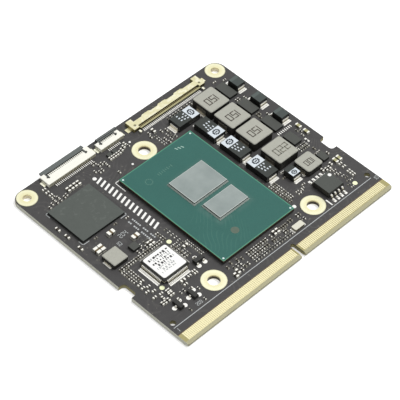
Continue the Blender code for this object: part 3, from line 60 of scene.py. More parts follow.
# Card edge, in from the front of the board: where grooves, contacts and mask start and a copper line ends
GROOVE_START = 0.8
CONTACT_START = 1.02
MASK_START = 3.2
COPPER_END = 3.4

# Half the depth of the grooves between the contacts
HALF_GROOVE = 0.015

# Contact fields: in from the board's left and right, and x at the key notch between them
FIELD_LEFT = 1.1
FIELD_RIGHT = 1.2
NOTCH_LEFT = 2.15
NOTCH_RIGHT = 4.55

# Cable connectors: contact pitch, reach of the tails before a housing, and its contacts and depth of roof
CONTACT_PITCH = 0.5
TAIL = 0.93
COMBS = {"wide_connector_housing": (24, 2.8), "narrow_connector_housing": (8, 2.15)}

# How far the leads or terminals of each kind of part reach in from its ends
CONTROLLER_LEAD = 1.0
FLASH_LEAD = 1.28
CAPACITOR_LEAD = 0.58
TRANSISTOR_LEAD = 0.48
PLATE = 0.11


# Materials

def rgb(red, green, blue):
    """A colour written as 8-bit display values, in linear light."""
    linear = []
    for value in (red, green, blue):
        value /= 255
        linear.append(value / 12.92 if value <= 0.04045 else ((value + 0.055) / 1.055) ** 2.4)
    return tuple(linear)


TIN = rgb(250, 249, 243)
SILK = rgb(244, 244, 240)
# Metal in painted shade, for the upright and covered parts of leads, tails and terminals
SHADED_METAL = rgb(104, 98, 78)
METAL_ROUGHNESS = 0.34


class Nodes:
    """The node tree of a material or of the world, whose last step has the given name."""

    def __init__(self, owner, last):
        owner.use_nodes = True
        self.tree = owner.node_tree
        self.last = self.tree.nodes[last]

    def feed(self, socket, value):
        """Link a socket to this one, or write a plain value in it."""
        if isinstance(value, bpy.types.NodeSocket):
            self.tree.links.new(value, socket)
        elif socket.type == "RGBA":
            socket.default_value = (*value, 1.0)
        else:
            socket.default_value = value

    def set(self, name, value):
        """Give an input of the last step its value."""
        self.feed(self.last.inputs[name], value)

    def add(self, kind, inputs=None, **settings):
        """A new node with these settings and inputs."""
        node = self.tree.nodes.new(kind)
        for key, value in settings.items():
            setattr(node, key, value)
        for key, value in (inputs or {}).items():
            self.feed(node.inputs[key], value)
        return node

    def math(self, operation, *values):
        """One arithmetic step."""
        return self.add("ShaderNodeMath", dict(enumerate(values)), operation=operation).outputs[0]

    def both(self, *masks):
        """Where every mask is 1."""
        return reduce(partial(self.math, "MULTIPLY"), masks)

    def either(self, *masks):
        """Where any mask is 1."""
        return reduce(partial(self.math, "MAXIMUM"), masks)

    def between(self, mask, first, second):
        """The first number where the mask is 0 and the second where it is 1."""
        return self.math("MULTIPLY_ADD", mask, second - first, first)

    def seen(self):
        """1 for a camera, glossy or transmission ray and 0 for any other."""
        path = self.add("ShaderNodeLightPath").outputs
        return self.either(*(path[f"Is {kind} Ray"] for kind in ("Camera", "Glossy", "Transmission")))


class Look(Nodes):
    """A procedural material under construction."""

    def __init__(self, name, roughness, metallic=0.0, specular=0.3):
        self.material = bpy.data.materials.new(name)
        super().__init__(self.material, "Principled BSDF")
        self.set("Roughness", roughness)
        self.set("Metallic", metallic)
        self.set("Specular IOR Level", specular)
        coordinates = self.add("ShaderNodeTexCoord")
        in_mm = {0: coordinates.outputs["Object"], "Scale": 1 / MM}
        self.place = self.add("ShaderNodeVectorMath", in_mm, operation="SCALE").outputs[0]
        self.x, self.y, self.z = self.split(self.place)
        self.normal_y, self.normal_z = self.split(coordinates.outputs["Normal"])[1:]

    def split(self, vector):
        """The three parts of a vector."""
        return self.add("ShaderNodeSeparateXYZ", {0: vector}).outputs[:3]

    def above(self, value, limit, soft=0.02):
        """0 below the limit and 1 above it, with a soft step."""
        step = {"Value": value, "From Min": limit - soft, "From Max": limit + soft}
        return self.add("ShaderNodeMapRange", step, interpolation_type="SMOOTHSTEP").outputs[0]

    def below(self, value, limit, soft=0.02):
        """1 below the limit and 0 above it."""
        return self.math("SUBTRACT", 1.0, self.above(value, limit, soft))

    def band(self, value, low, high, soft=0.02):
        """1 between the limits and 0 outside them."""
        return self.both(self.above(value, low, soft), self.below(value, high, soft))

    def inside(self, low, high, margin, soft):
        """Where x and y lie more than the margin inside a box."""
        return self.both(
            self.band(self.x, low.x + margin, high.x - margin, soft),
            self.band(self.y, low.y + margin, high.y - margin, soft),
        )

    def upright(self):
        """Where the surface stands upright."""
        return self.below(self.math("ABSOLUTE", self.normal_z), 0.6, 0.1)

    def distance(self, centre):
        """Distance from an upright line through this place."""
        run = self.math("SUBTRACT", self.x, centre[0])
        rise = self.math("SUBTRACT", self.y, centre[1])
        squares = self.math("MULTIPLY_ADD", run, run, self.math("MULTIPLY", rise, rise))
        return self.math("SQRT", squares)

    def mix(self, mask, first, second, share=1.0):
        """The first colour where the mask is 0, and this share of the second over it where it is 1."""
        if share < 1.0:
            mask = self.math("MULTIPLY", mask, share)
        return self.add("ShaderNodeMix", {0: mask, 6: first, 7: second}, data_type="RGBA").outputs[2]

    def noise(self, scale, detail=3.0, stretch=None):
        """Soft random variation from 0 to 1; the scale is in features a millimetre."""
        place = self.place
        if stretch:
            place = self.add("ShaderNodeMapping", {0: place, "Scale": stretch}).outputs[0]
        pattern = {"Vector": place, "Scale": scale, "Detail": detail}
        return self.add("ShaderNodeTexNoise", pattern).outputs["Fac"]

    def mottle(self, colour, amount, scale, detail=4.0):
        """The colour made a little darker and lighter by noise."""
        dark = tuple(value * (1 - amount) for value in colour)
        light = tuple(min(1.0, value * (1 + amount)) for value in colour)
        return self.mix(self.noise(scale, detail), dark, light)

    def contours(self, scale, count):
        """Thin curved lines, like tracks, where soft noise crosses evenly spaced levels."""
        level = self.math("FRACT", self.math("MULTIPLY", self.noise(scale, 0.0), count))
        return self.band(level, 0.35, 0.65, 0.1)

    def grain(self, scale, detail, strength, stretch=None, depth=0.02):
        """Raise the surface by fine noise of this depth."""
        relief = {"Strength": strength, "Distance": depth * MM, "Height": self.noise(scale, detail, stretch)}
        self.set("Normal", self.add("ShaderNodeBump", relief).outputs[0])

    def done(self, colour, roughness=None, metallic=None):
        """Set the colour and return the material."""
        self.set("Base Color", colour)
        if roughness is not None:
            self.set("Roughness", roughness)
        if metallic is not None:
            self.set("Metallic", metallic)
        return self.material


def box_mm(node):
    """Low and high corners of a CAD node, in millimetres."""
    low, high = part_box(node)
    return low / MM, high / MM


def grainy(name, colour, roughness, amount, scale, strength=0.25, sides=None):
    """A material of one colour with fine mottling and grain, and upright sides of their own colour."""
    look = Look(name, roughness)
    look.grain(scale * 3, 5.0, strength)
    surface = look.mottle(colour, amount, scale)
    if sides:
        surface = look.mix(look.upright(), surface, look.mottle(sides, amount, scale))
    return look.done(surface)


def gold(name, colour):
    """Plated gold with faint brushing and wear, with painted shade where it stands upright."""
    look = Look(name, METAL_ROUGHNESS, 0.6, 0.5)
    look.grain(2.0, 5.0, 0.1, (1.0, 12.0, 1.0))
    face, side = look.mottle(colour, 0.05, 1.2), look.mottle(rgb(150, 138, 92), 0.15, 2.0)
    return look.done(look.mix(look.upright(), face, side))


def tin(name, colour=TIN):
    """Tinned metal, with painted shade where it stands upright."""
    look = Look(name, METAL_ROUGHNESS, 0.3, 0.5)
    look.grain(9.0, 4.0, 0.15)
    shade = tuple(value * 0.4 for value in colour)
    face, side = look.mottle(colour, 0.05, 3.0), look.mottle(shade, 0.15, 3.0)
    return look.done(look.mix(look.upright(), face, side))


def ring_material(node, barrel):
    """Pale plated gold, yellower towards the bore, whose barrel darkens downwards to the given colour as
    painted shade.
    """
    look = Look(node, METAL_ROUGHNESS, 0.6, 0.5)
    low, high = box_mm(node)
    radius = (high.x - low.x) / 2
    from_axis = look.distance((low + high) / 2)
    near = look.below(from_axis, radius * 0.7, 0.5)
    rim = look.above(from_axis, radius - 0.16, 0.08)
    face = look.mix(near, look.mottle(rgb(239, 237, 203), 0.06, 1.2), rgb(226, 218, 166), 0.5)
    face = look.mix(rim, face, rgb(140, 134, 98), 0.45)
    # Painted shade down the barrel
    side = look.mix(look.below(look.z, TOP - 0.3, 0.2), rgb(208, 198, 152), barrel)
    side = look.mix(look.above(from_axis, radius * 0.8, 0.1), side, rgb(184, 184, 170))
    look.grain(2.0, 5.0, 0.1, (1.0, 12.0, 1.0))
    return look.done(look.mix(look.upright(), face, side))


# Painted shade where the display connector's shell has holes: x, y and radius
SHELL_HOLE_SHADE = ((2.86, 26.38, 0.36), (1.5, 26.3, 0.2), (25.07, 26.26, 0.32))


def shell_material():
    """Thin folded plating with soft painted highlights and shaded patches, painted shade at its holes, and
    painted shade on its upright faces, darkest on the front.
    """
    look = Look("shell plating", 0.3, 0.6, 0.5)
    # Patches of painted shade and painted highlight over the plating
    face = look.mix(look.noise(0.35, 2.0, (1.0, 0.5, 1.0)), rgb(202, 196, 144), rgb(244, 240, 206))
    face = look.mix(look.above(look.noise(0.8), 0.56, 0.06), face, rgb(254, 252, 232), 0.5)
    # Painted shade at the holes
    for x, y, radius in SHELL_HOLE_SHADE:
        face = look.mix(look.below(look.distance((x, y)), radius, 0.08), face, rgb(80, 74, 50), 0.75)
    # Painted shade on the upright faces, darkest on the front
    front = look.both(look.below(look.normal_y, -0.5, 0.1), look.upright())
    side = look.mix(front, rgb(150, 140, 92), rgb(96, 88, 56))
    look.grain(1.2, 4.0, 0.25, depth=0.05)
    return look.done(look.mix(look.upright(), face, side))


def board_material():
    """Dark solder mask over faint copper, with bare laminate and gold along the card edge."""
    look = Look("solder mask", 0.5, specular=0.2)
    low, high = box_mm("circuit_board")
    mask_start = low.y + MASK_START
    mask = look.mottle(rgb(70, 69, 69), 0.16, 0.7)
    patches = look.above(look.noise(0.22, 1.0), 0.5, 0.04)
    mask = look.mix(look.both(look.contours(0.1, 16.0), patches), mask, rgb(112, 110, 106), 0.14)
    vias = look.add("ShaderNodeTexVoronoi", {"Vector": look.place, "Scale": 0.8})
    dots = look.both(look.below(vias.outputs["Distance"], 0.16, 0.03), patches)
    mask = look.mix(dots, mask, rgb(140, 138, 126), 0.3)
    # Bare laminate along the card edge, with a copper line where the mask starts.
    colour = look.mix(look.below(look.y, mask_start), mask, look.mottle(rgb(166, 158, 110), 0.12, 1.5))
    copper = look.band(look.y, mask_start, low.y + COPPER_END, 0.03)
    colour = look.mix(copper, colour, rgb(112, 84, 58), 0.5)
    # The chamfer, and the cut sides of the board and of its holes; the side facing the card edge and the
    # walls inside the holes are in painted shade.
    lie = look.math("ABSOLUTE", look.normal_z)
    flat = look.above(lie, 0.5, 0.1)
    colour = look.mix(look.band(lie, 0.7, 0.96), colour, look.mottle(rgb(165, 161, 130), 0.08, 1.5))
    side = look.mix(look.noise(1.0, 2.0, (0.15, 0.15, 3.0)), rgb(206, 207, 194), rgb(162, 161, 146))
    side = look.mix(look.below(look.normal_y, -0.7, 0.05), side, rgb(132, 128, 106))
    hole = look.mix(look.above(look.z, 0.8, 0.3), rgb(140, 134, 94), rgb(92, 88, 62))
    side = look.mix(look.inside(low, high, 0.1, 0.02), side, hole)
    colour = look.mix(flat, side, colour)
    # Contacts, level with the faces; the grooves between them are lower and fade to the right.
    faces = look.either(
        look.above(look.z, TOP - HALF_GROOVE, 0.005), look.below(look.z, HALF_GROOVE, 0.005)
    )
    fields = look.either(
        look.band(look.x, low.x + FIELD_LEFT, NOTCH_LEFT, 0.01),
        look.band(look.x, NOTCH_RIGHT, high.x - FIELD_RIGHT, 0.01),
    )
    field = look.both(look.band(look.y, low.y + GROOVE_START, mask_start, 0.01), fields, flat)
    pale, dull = (look.mottle(tone, 0.06, 2.0) for tone in (rgb(228, 219, 172), rgb(170, 162, 118)))
    colour = look.mix(field, colour, look.mix(look.above(look.x, 0.0, 24.0), pale, dull))
    contact = look.both(field, faces, look.above(look.y, low.y + CONTACT_START, 0.01))
    colour = look.mix(contact, colour, look.mottle(rgb(236, 228, 185), 0.05, 1.0))
    look.grain(3.0, 3.0, 0.12)
    return look.done(colour, look.between(contact, 0.5, 0.35), look.between(contact, 0.0, 0.6))


def package_material():
    """Teal solder mask of the processor's substrate, with faint tracks, a bright rim, and cut sides in
    painted shade below a pale upper line.
    """
    look = Look("package mask", 0.4, specular=0.25)
    low, high = box_mm("processor_substrate")
    colour = look.mottle(rgb(45, 94, 87), 0.08, 0.25)
    colour = look.mix(look.noise(1.6, 3.0, (1.0, 2.0, 1.0)), colour, rgb(84, 134, 122), 0.16)
    # Slanted tracks that bend with soft noise, clearest below the small die.
    corner = box_mm("processor_die_small")[0]
    slant = look.math("MULTIPLY", look.math("SUBTRACT", look.x, look.y), 0.7)
    bend = look.math("MULTIPLY", look.noise(0.16, 0.0), 5.0)
    tracks = look.both(
        look.band(look.math("FRACT", look.math("ADD", slant, bend)), 0.4, 0.6, 0.08),
        look.below(look.distance((corner.x - 2.5, corner.y - 2.0)), 7.0, 2.0),
        look.below(look.x, corner.x + 4.0, 1.0),
        look.above(look.noise(0.25, 1.0), 0.42, 0.08),
    )
    colour = look.mix(tracks, colour, rgb(96, 144, 128), 0.14)
    # A greyish film of flux round the dies.
    middle = (low.x + high.x) / 2
    film = look.both(
        look.band(look.x, middle - 5.0, middle + 7.2, 0.8),
        look.band(look.y, low.y + 8.2, low.y + 26.5, 0.8),
        look.above(look.noise(0.5, 4.0), 0.42, 0.18),
    )
    colour = look.mix(film, colour, rgb(122, 140, 134), 0.14)
    rim = look.math("SUBTRACT", 1.0, look.inside(low, high, 0.2, 0.05))
    colour = look.mix(rim, colour, rgb(88, 158, 128), 0.8)
    # The sides are in painted shade below a pale line along their top
    side = look.mix(look.above(look.z, high.z - 0.22, 0.06), rgb(40, 36, 30), rgb(134, 122, 98))
    look.grain(6.0, 3.0, 0.06)
    return look.done(look.mix(look.upright(), colour, side))


def memory_material():
    """Moulded package with faint ground-in smudges and sides in painted shade."""
    look = Look("memory mould", 0.45, specular=0.25)
    smudges = look.above(look.noise(0.9, 5.0), 0.6, 0.05)
    patches = look.above(look.noise(0.18, 1.0), 0.5, 0.05)
    colour = look.mottle(rgb(81, 86, 82), 0.08, 0.8)
    colour = look.mix(look.both(smudges, patches), colour, rgb(122, 128, 122), 0.18)
    look.grain(3.0, 5.0, 0.15)
    return look.done(look.mix(look.upright(), colour, rgb(22, 24, 23)))


def silicon_material(node):
    """Back of a thinned die: a cloudy grey half mirror with a painted highlight along its pale rim, and dark
    sawn sides in painted shade.
    """
    look = Look(node, 0.22, 0.4, 0.4)
    cloud = look.mix(look.noise(0.22), rgb(124, 136, 134), rgb(168, 177, 174))
    # A painted highlight along the rim
    colour = look.mix(look.inside(*box_mm(node), 0.14, 0.04), rgb(192, 198, 194), cloud)
    # Upright sides in painted shade
    side = look.upright()
    look.grain(1.5, 2.0, 0.03, (1.0, 20.0, 1.0))
    return look.done(look.mix(side, colour, rgb(40, 44, 43)), look.between(side, 0.22, 0.52))


def inductor_material(node, terminal, silver=rgb(188, 180, 162)):
    """Pressed powder, pale on top and dark down the sides, with plates this tall at the left and right."""
    look = Look(node, 0.65, specular=0.2)
    low, high = box_mm(node)
    pale = look.mottle(rgb(172, 172, 162), 0.1, 1.6, 8.0)
    pale = look.mix(look.below(look.noise(5.0, 6.0), 0.36, 0.04), pale, rgb(120, 118, 110), 0.3)
    dark = look.mottle(rgb(32, 31, 28), 0.25, 2.5, 6.0)
    colour = look.mix(look.above(look.normal_z, 0.6, 0.25), dark, pale)
    ends = look.either(
        look.below(look.x, low.x + PLATE, 0.005), look.above(look.x, high.x - PLATE, 0.005)
    )
    plate = look.both(ends, look.below(look.z, TOP + terminal + 0.06, 0.01))
    upper = look.above(look.z, TOP + terminal * 0.45, 0.3)
    metal = look.mix(upper, look.mottle(silver, 0.15, 2.0), rgb(92, 88, 78))
    look.grain(8.0, 6.0, 0.4, depth=0.03)
    return look.done(look.mix(plate, colour, metal), metallic=look.between(plate, 0.0, 0.3))


def leaded_material(node, colour, axes, reach, roughness=0.5, flanks=None, far_shade=0.0, painted_low_slope=SHADED_METAL):
    """Moulded body whose leads reach in from its ends on the given axes.

    The leads are bright where they lie flat, with a painted highlight high on their upright faces and the
    painted_low_slope colour low on them, which is painted shade unless a caller gives it pale as painted
    light.
    They may be darkened at the right and back as painted shade, and then a painted highlight band runs round
    the body.
    """
    look = Look(node, roughness, specular=0.25)
    low, high = box_mm(node)
    places = (look.x, look.y)
    near = [look.below(places[axis], low[axis] + reach, 0.01) for axis in axes]
    far = [look.above(places[axis], high[axis] - reach, 0.01) for axis in axes]
    lead = look.either(*near, *far)
    body = look.mottle(colour, 0.12, 2.5, 6.0)
    # The flanks colour is painted shade on the slanted faces of the body
    if flanks:
        slanted = look.below(look.normal_z, 0.6, 0.1)
        body = look.mix(slanted, body, look.mottle(flanks, 0.12, 2.5))
    # Painted light and shade on the upright lead faces: a highlight above the shoulder and the
    # painted_low_slope colour below it
    shoulder = look.above(look.z, low.z + (high.z - low.z) * 0.32, 0.1)
    slope = look.mix(shoulder, painted_low_slope, rgb(228, 224, 206))
    metal = look.mix(look.above(look.normal_z, 0.9, 0.05), slope, look.mottle(TIN, 0.05, 3.0))
    # Painted shade on the far leads, and a painted highlight band round the body
    if far_shade:
        metal = look.mix(look.either(*far), metal, rgb(80, 77, 66), far_shade)
        middle = (low.z + high.z) / 2
        highlight_band = look.both(look.upright(), look.band(look.z, middle - 0.3, middle, 0.05))
        body = look.mix(highlight_band, body, rgb(168, 163, 142))
    look.grain(12.0, 5.0, 0.2)
    gloss = look.between(lead, roughness, METAL_ROUGHNESS)
    return look.done(look.mix(lead, body, metal), gloss, look.between(lead, 0.0, 0.3))


def housing_material(node):
    """White housing plastic with painted shade under its roof and on its front face, and tinned tails in
    front of it that are in painted shade except on their flat front tips.
    """
    look = Look(node, 0.45)
    low, high = box_mm(node)
    # Painted shade under the roof
    under_roof = look.below(look.z, high.z - 0.3, 0.1)
    deep = look.both(under_roof, look.above(look.y, low.y + 2.0, 0.1))
    white = look.mix(deep, look.mottle(rgb(243, 242, 232), 0.02, 0.8), rgb(64, 60, 50), 0.85)
    # Painted shade on the front face
    front = look.both(look.below(look.normal_y, -0.7, 0.1), look.below(look.y, low.y + 1.2, 0.1))
    white = look.mix(front, white, rgb(140, 136, 110), 0.8)
    # The contacts show through the lower front as pale stripes between gaps in painted shade.
    middle = (low.x + high.x) / 2
    reach = COMBS[node][0] * CONTACT_PITCH / 2
    turn = look.math("DIVIDE", look.math("SUBTRACT", look.x, middle - reach), CONTACT_PITCH)
    stripes = look.band(look.math("FRACT", turn), 0.26, 0.74, 0.08)
    comb = look.both(
        front, look.band(look.x, middle - reach, middle + reach), look.below(look.z, high.z - 0.3)
    )
    white = look.mix(comb, white, look.mix(stripes, rgb(34, 33, 28), rgb(196, 190, 166)))
    # The tails are tinned on their flat front tips and in painted shade elsewhere
    tip = look.both(look.above(look.normal_z, 0.6, 0.1), look.below(look.y, low.y + 0.72, 0.06))
    tail = look.below(look.y, low.y + TAIL, 0.01)
    colour = look.mix(tail, white, look.mix(tip, SHADED_METAL, TIN))
    look.grain(10.0, 3.0, 0.08)
    return look.done(colour, metallic=look.between(tail, 0.0, 0.3))


def insulator_material():
    """Olive insulator with gold beams in its groove and tinned tails in front of it, with painted shade on
    its upright faces, darkest low down, in its groove and on the tails' upright faces.
    """
    look = Look("olive plastic", 0.5, specular=0.25)
    low, high = box_mm("display_connector_insulator")
    # Painted shade on the upright faces, darkest low down
    wall = look.mix(look.above(look.z, low.z + 0.6, 0.05), rgb(44, 41, 30), rgb(112, 106, 76))
    colour = look.mix(look.upright(), rgb(168, 163, 122), wall)
    # Painted shade in the groove
    groove = look.both(
        look.band(look.y, low.y + 1.16, high.y - 1.36, 0.01), look.below(look.z, low.z + 0.6)
    )
    colour = look.mix(groove, colour, rgb(38, 34, 24))
    beam = look.both(groove, look.above(look.z, low.z + 0.47, 0.01))
    colour = look.mix(beam, colour, rgb(150, 138, 98))
    tail = look.below(look.y, low.y + 0.68, 0.01)
    level = look.above(look.normal_z, 0.6, 0.1)
    colour = look.mix(tail, colour, look.mix(level, SHADED_METAL, TIN))
    look.grain(8.0, 3.0, 0.1)
    return look.done(colour, metallic=look.between(look.either(tail, beam), 0.0, 0.2))


def lid_material(node):
    """Dark lid plastic with a painted highlight along its crest, and painted shade towards its front and on
    its upright faces.
    """
    look = Look(node, 0.4, specular=0.35)
    low, high = box_mm(node)
    # A painted highlight along the crest
    crest = look.above(look.normal_z, 0.93, 0.05)
    colour = look.mix(crest, rgb(50, 53, 52), look.mottle(rgb(95, 100, 98), 0.12, 2.0))
    # Painted shade towards the front
    front = look.below(look.y, (low.y + high.y) / 2, 0.12)
    colour = look.mix(front, colour, rgb(58, 60, 59), 0.7)
    look.grain(8.0, 3.0, 0.1)
    return look.done(look.mix(look.upright(), colour, rgb(40, 41, 40)))


def capacitor_material(node, axis=1, colour=rgb(55, 59, 56), painted_low_slope=SHADED_METAL):
    """Black resin block with a bright terminal at each end of the axis and flanks in painted shade."""
    return leaded_material(node, colour, (axis,), CAPACITOR_LEAD, 0.42, rgb(24, 25, 23), painted_low_slope=painted_low_slope)


def paint_frame():
    """Materials of every CAD node."""
    # flank is painted shade for the slanted faces of the flash memory
    moulded, flash, flank = rgb(50, 50, 48), rgb(75, 78, 74), rgb(32, 32, 30)
    tab = tin("tinned tabs", rgb(253, 250, 228))
    # The mould compound's upright sides are in painted shade
    mould = grainy("mould compound", rgb(72, 74, 70), 0.5, 0.14, 4.0, sides=rgb(28, 28, 27))
    collar = grainy("underfill", rgb(140, 150, 144), 0.35, 0.08, 1.0, 0.1)
    fixed = {
        "circuit_board": board_material(),
        "processor_substrate": package_material(),
        "memory_package": memory_material(),
        # The controller's far leads are in painted shade
        "controller": leaded_material("controller", moulded, (0, 1), CONTROLLER_LEAD, far_shade=0.7),
        "controller_label": grainy("label paper", rgb(246, 246, 243), 0.6, 0.02, 2.0, 0.1),
        "flash_memory": leaded_material("flash_memory", flash, (1,), FLASH_LEAD, flanks=flank),
        "crystal": grainy("crystal lid", rgb(218, 216, 200), 0.4, 0.05, 1.5, 0.1, rgb(96, 90, 70)),
        "display_connector_insulator": insulator_material(),
        "display_connector_shell": shell_material(),
        "input_inductor": inductor_material("input_inductor", 0.6, rgb(228, 222, 202)),
        "small_inductor": inductor_material("small_inductor", 1.2),
        # Capacitor 1's terminals are painted pale low on their slopes, as painted light
        "polymer_capacitor_1": capacitor_material("polymer_capacitor_1", 0, painted_low_slope=rgb(214, 206, 180)),
    }
    for node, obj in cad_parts.items():
        if node in fixed:
            material = fixed[node]
        elif "ring" in node:
            # The barrel colour is painted shade: strong in the cooler rings' bores, slight in the corner
            # rings'
            barrel = rgb(200, 192, 166) if node.startswith("corner") else rgb(52, 43, 27)
            material = ring_material(node, barrel)
        elif node.startswith("processor_die"):
            material = silicon_material(node)
        elif node.startswith("underfill"):
            material = collar
        elif node.startswith("power_inductor"):
            material = inductor_material(node, 1.8)
        elif node.startswith("edge_capacitor"):
            material = capacitor_material(node, colour=rgb(66, 73, 71))
        elif "capacitor" in node:
            material = capacitor_material(node)
        elif node.startswith("transistor"):
            axis = 1 if node == "transistor_1" else 0
            # The transistors' flanks are in painted shade
            material = leaded_material(node, moulded, (axis,), TRANSISTOR_LEAD, 0.5, rgb(28, 28, 26))
        elif node.endswith("_housing"):
            material = housing_material(node)
        elif node.endswith("_lid"):
            material = lid_material(node)
        elif "_tab_" in node or "_post_" in node:
            material = tab
        else:
            material = mould
        obj.data.materials.clear()
        obj.data.materials.append(material)


# Pieces

class Batch:
    """One piece made of many small solids. Levels are the heights of a solid's two flat ends."""

    def __init__(self, name, material, slot):
        self.name = name
        self.material = material
        self.slot = slot
        self.mesh = bmesh.new()

    def bar(self, x, y, length_x, length_y, levels, turn=0.0):
        """A block about a middle point, turned on the spot."""
        place = Matrix.Translation((x, y, sum(levels) / 2)) @ Matrix.Rotation(math.radians(turn), 4, "Z")
        size = Matrix.Diagonal((length_x, length_y, levels[1] - levels[0], 1.0))
        bmesh.ops.create_cube(self.mesh, size=1.0, matrix=place @ size)

    def slab(self, first, last, levels, grow=0.0):
        """A block over the rectangle between two points, grown on every side."""
        middle = ((start + end) / 2 for start, end in zip(first, last))
        lengths = (abs(end - start) + 2 * grow for start, end in zip(first, last))
        self.bar(*middle, *lengths, levels)

    def prism(self, outline, levels):
        """An upright prism over a flat outline."""
        rings = [[self.mesh.verts.new((x, y, z)) for x, y in outline] for z in levels]
        self.mesh.faces.new(rings[0][::-1])
        self.mesh.faces.new(rings[1])
        count = len(outline)
        for index in range(count):
            after = (index + 1) % count
            self.mesh.faces.new((rings[0][index], rings[0][after], rings[1][after], rings[1][index]))

    def disc(self, centre, radius, levels, sides=16):
        """An upright round disc."""
        self.prism([around(centre, radius, index, sides) for index in range(sides)], levels)

    def done(self, ease=0.0):
        """Turn the batch into a piece that rides on the module, with its edges eased."""
        if ease:
            bmesh.ops.bevel(self.mesh, geom=self.mesh.edges[:], offset=ease, segments=1, affect="EDGES")
        bmesh.ops.scale(self.mesh, vec=(MM, MM, MM), verts=self.mesh.verts)
        bmesh.ops.recalc_face_normals(self.mesh, faces=self.mesh.faces)
        data = bpy.data.meshes.new(self.name)
        self.mesh.to_mesh(data)
        self.mesh.free()
        obj = bpy.data.objects.new(self.name, data)
        bpy.context.scene.collection.objects.link(obj)
        data.materials.append(self.material)
        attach(obj, BODY)


def around(centre, radius, index, count):
    """One of several places spaced evenly round a circle."""
    angle = math.tau * index / count
    return centre[0] + radius * math.cos(angle), centre[1] + radius * math.sin(angle)


def spread(count, pitch):
    """Offsets of an evenly spaced row about its middle."""
    return [(index - (count - 1) / 2) * pitch for index in range(count)]


def along(direction, x, y, start, end, half):
    """Two corners of a strip from start to end in one direction from a place, and half to each side."""
    if direction == "X":
        return (x + start, y - half), (x + end, y + half)
    return (x - half, y + start), (x + half, y + end)


# Length, width, height, share of each end and body of each kind of small chip
CHIP_KINDS = {
    "cap": (0.88, 0.4, 0.36, 0.28, "ceramic"),
    "res": (0.78, 0.36, 0.28, 0.28, "glaze"),
    "bold": (1.0, 0.56, 0.45, 0.34, "ceramic"),
    "mid": (1.5, 0.6, 0.4, 0.26, "ceramic"),
    "big": (1.4, 0.74, 0.6, 0.33, "ceramic"),
    "olive": (1.7, 0.85, 0.6, 0.25, "olive"),
    "large": (2.0, 1.15, 0.9, 0.38, "tan"),
}

# Chips stand on the board, so in the photo they are seen this far to the right and back of their places
SEEN_SHIFT = (0.15, 0.1)

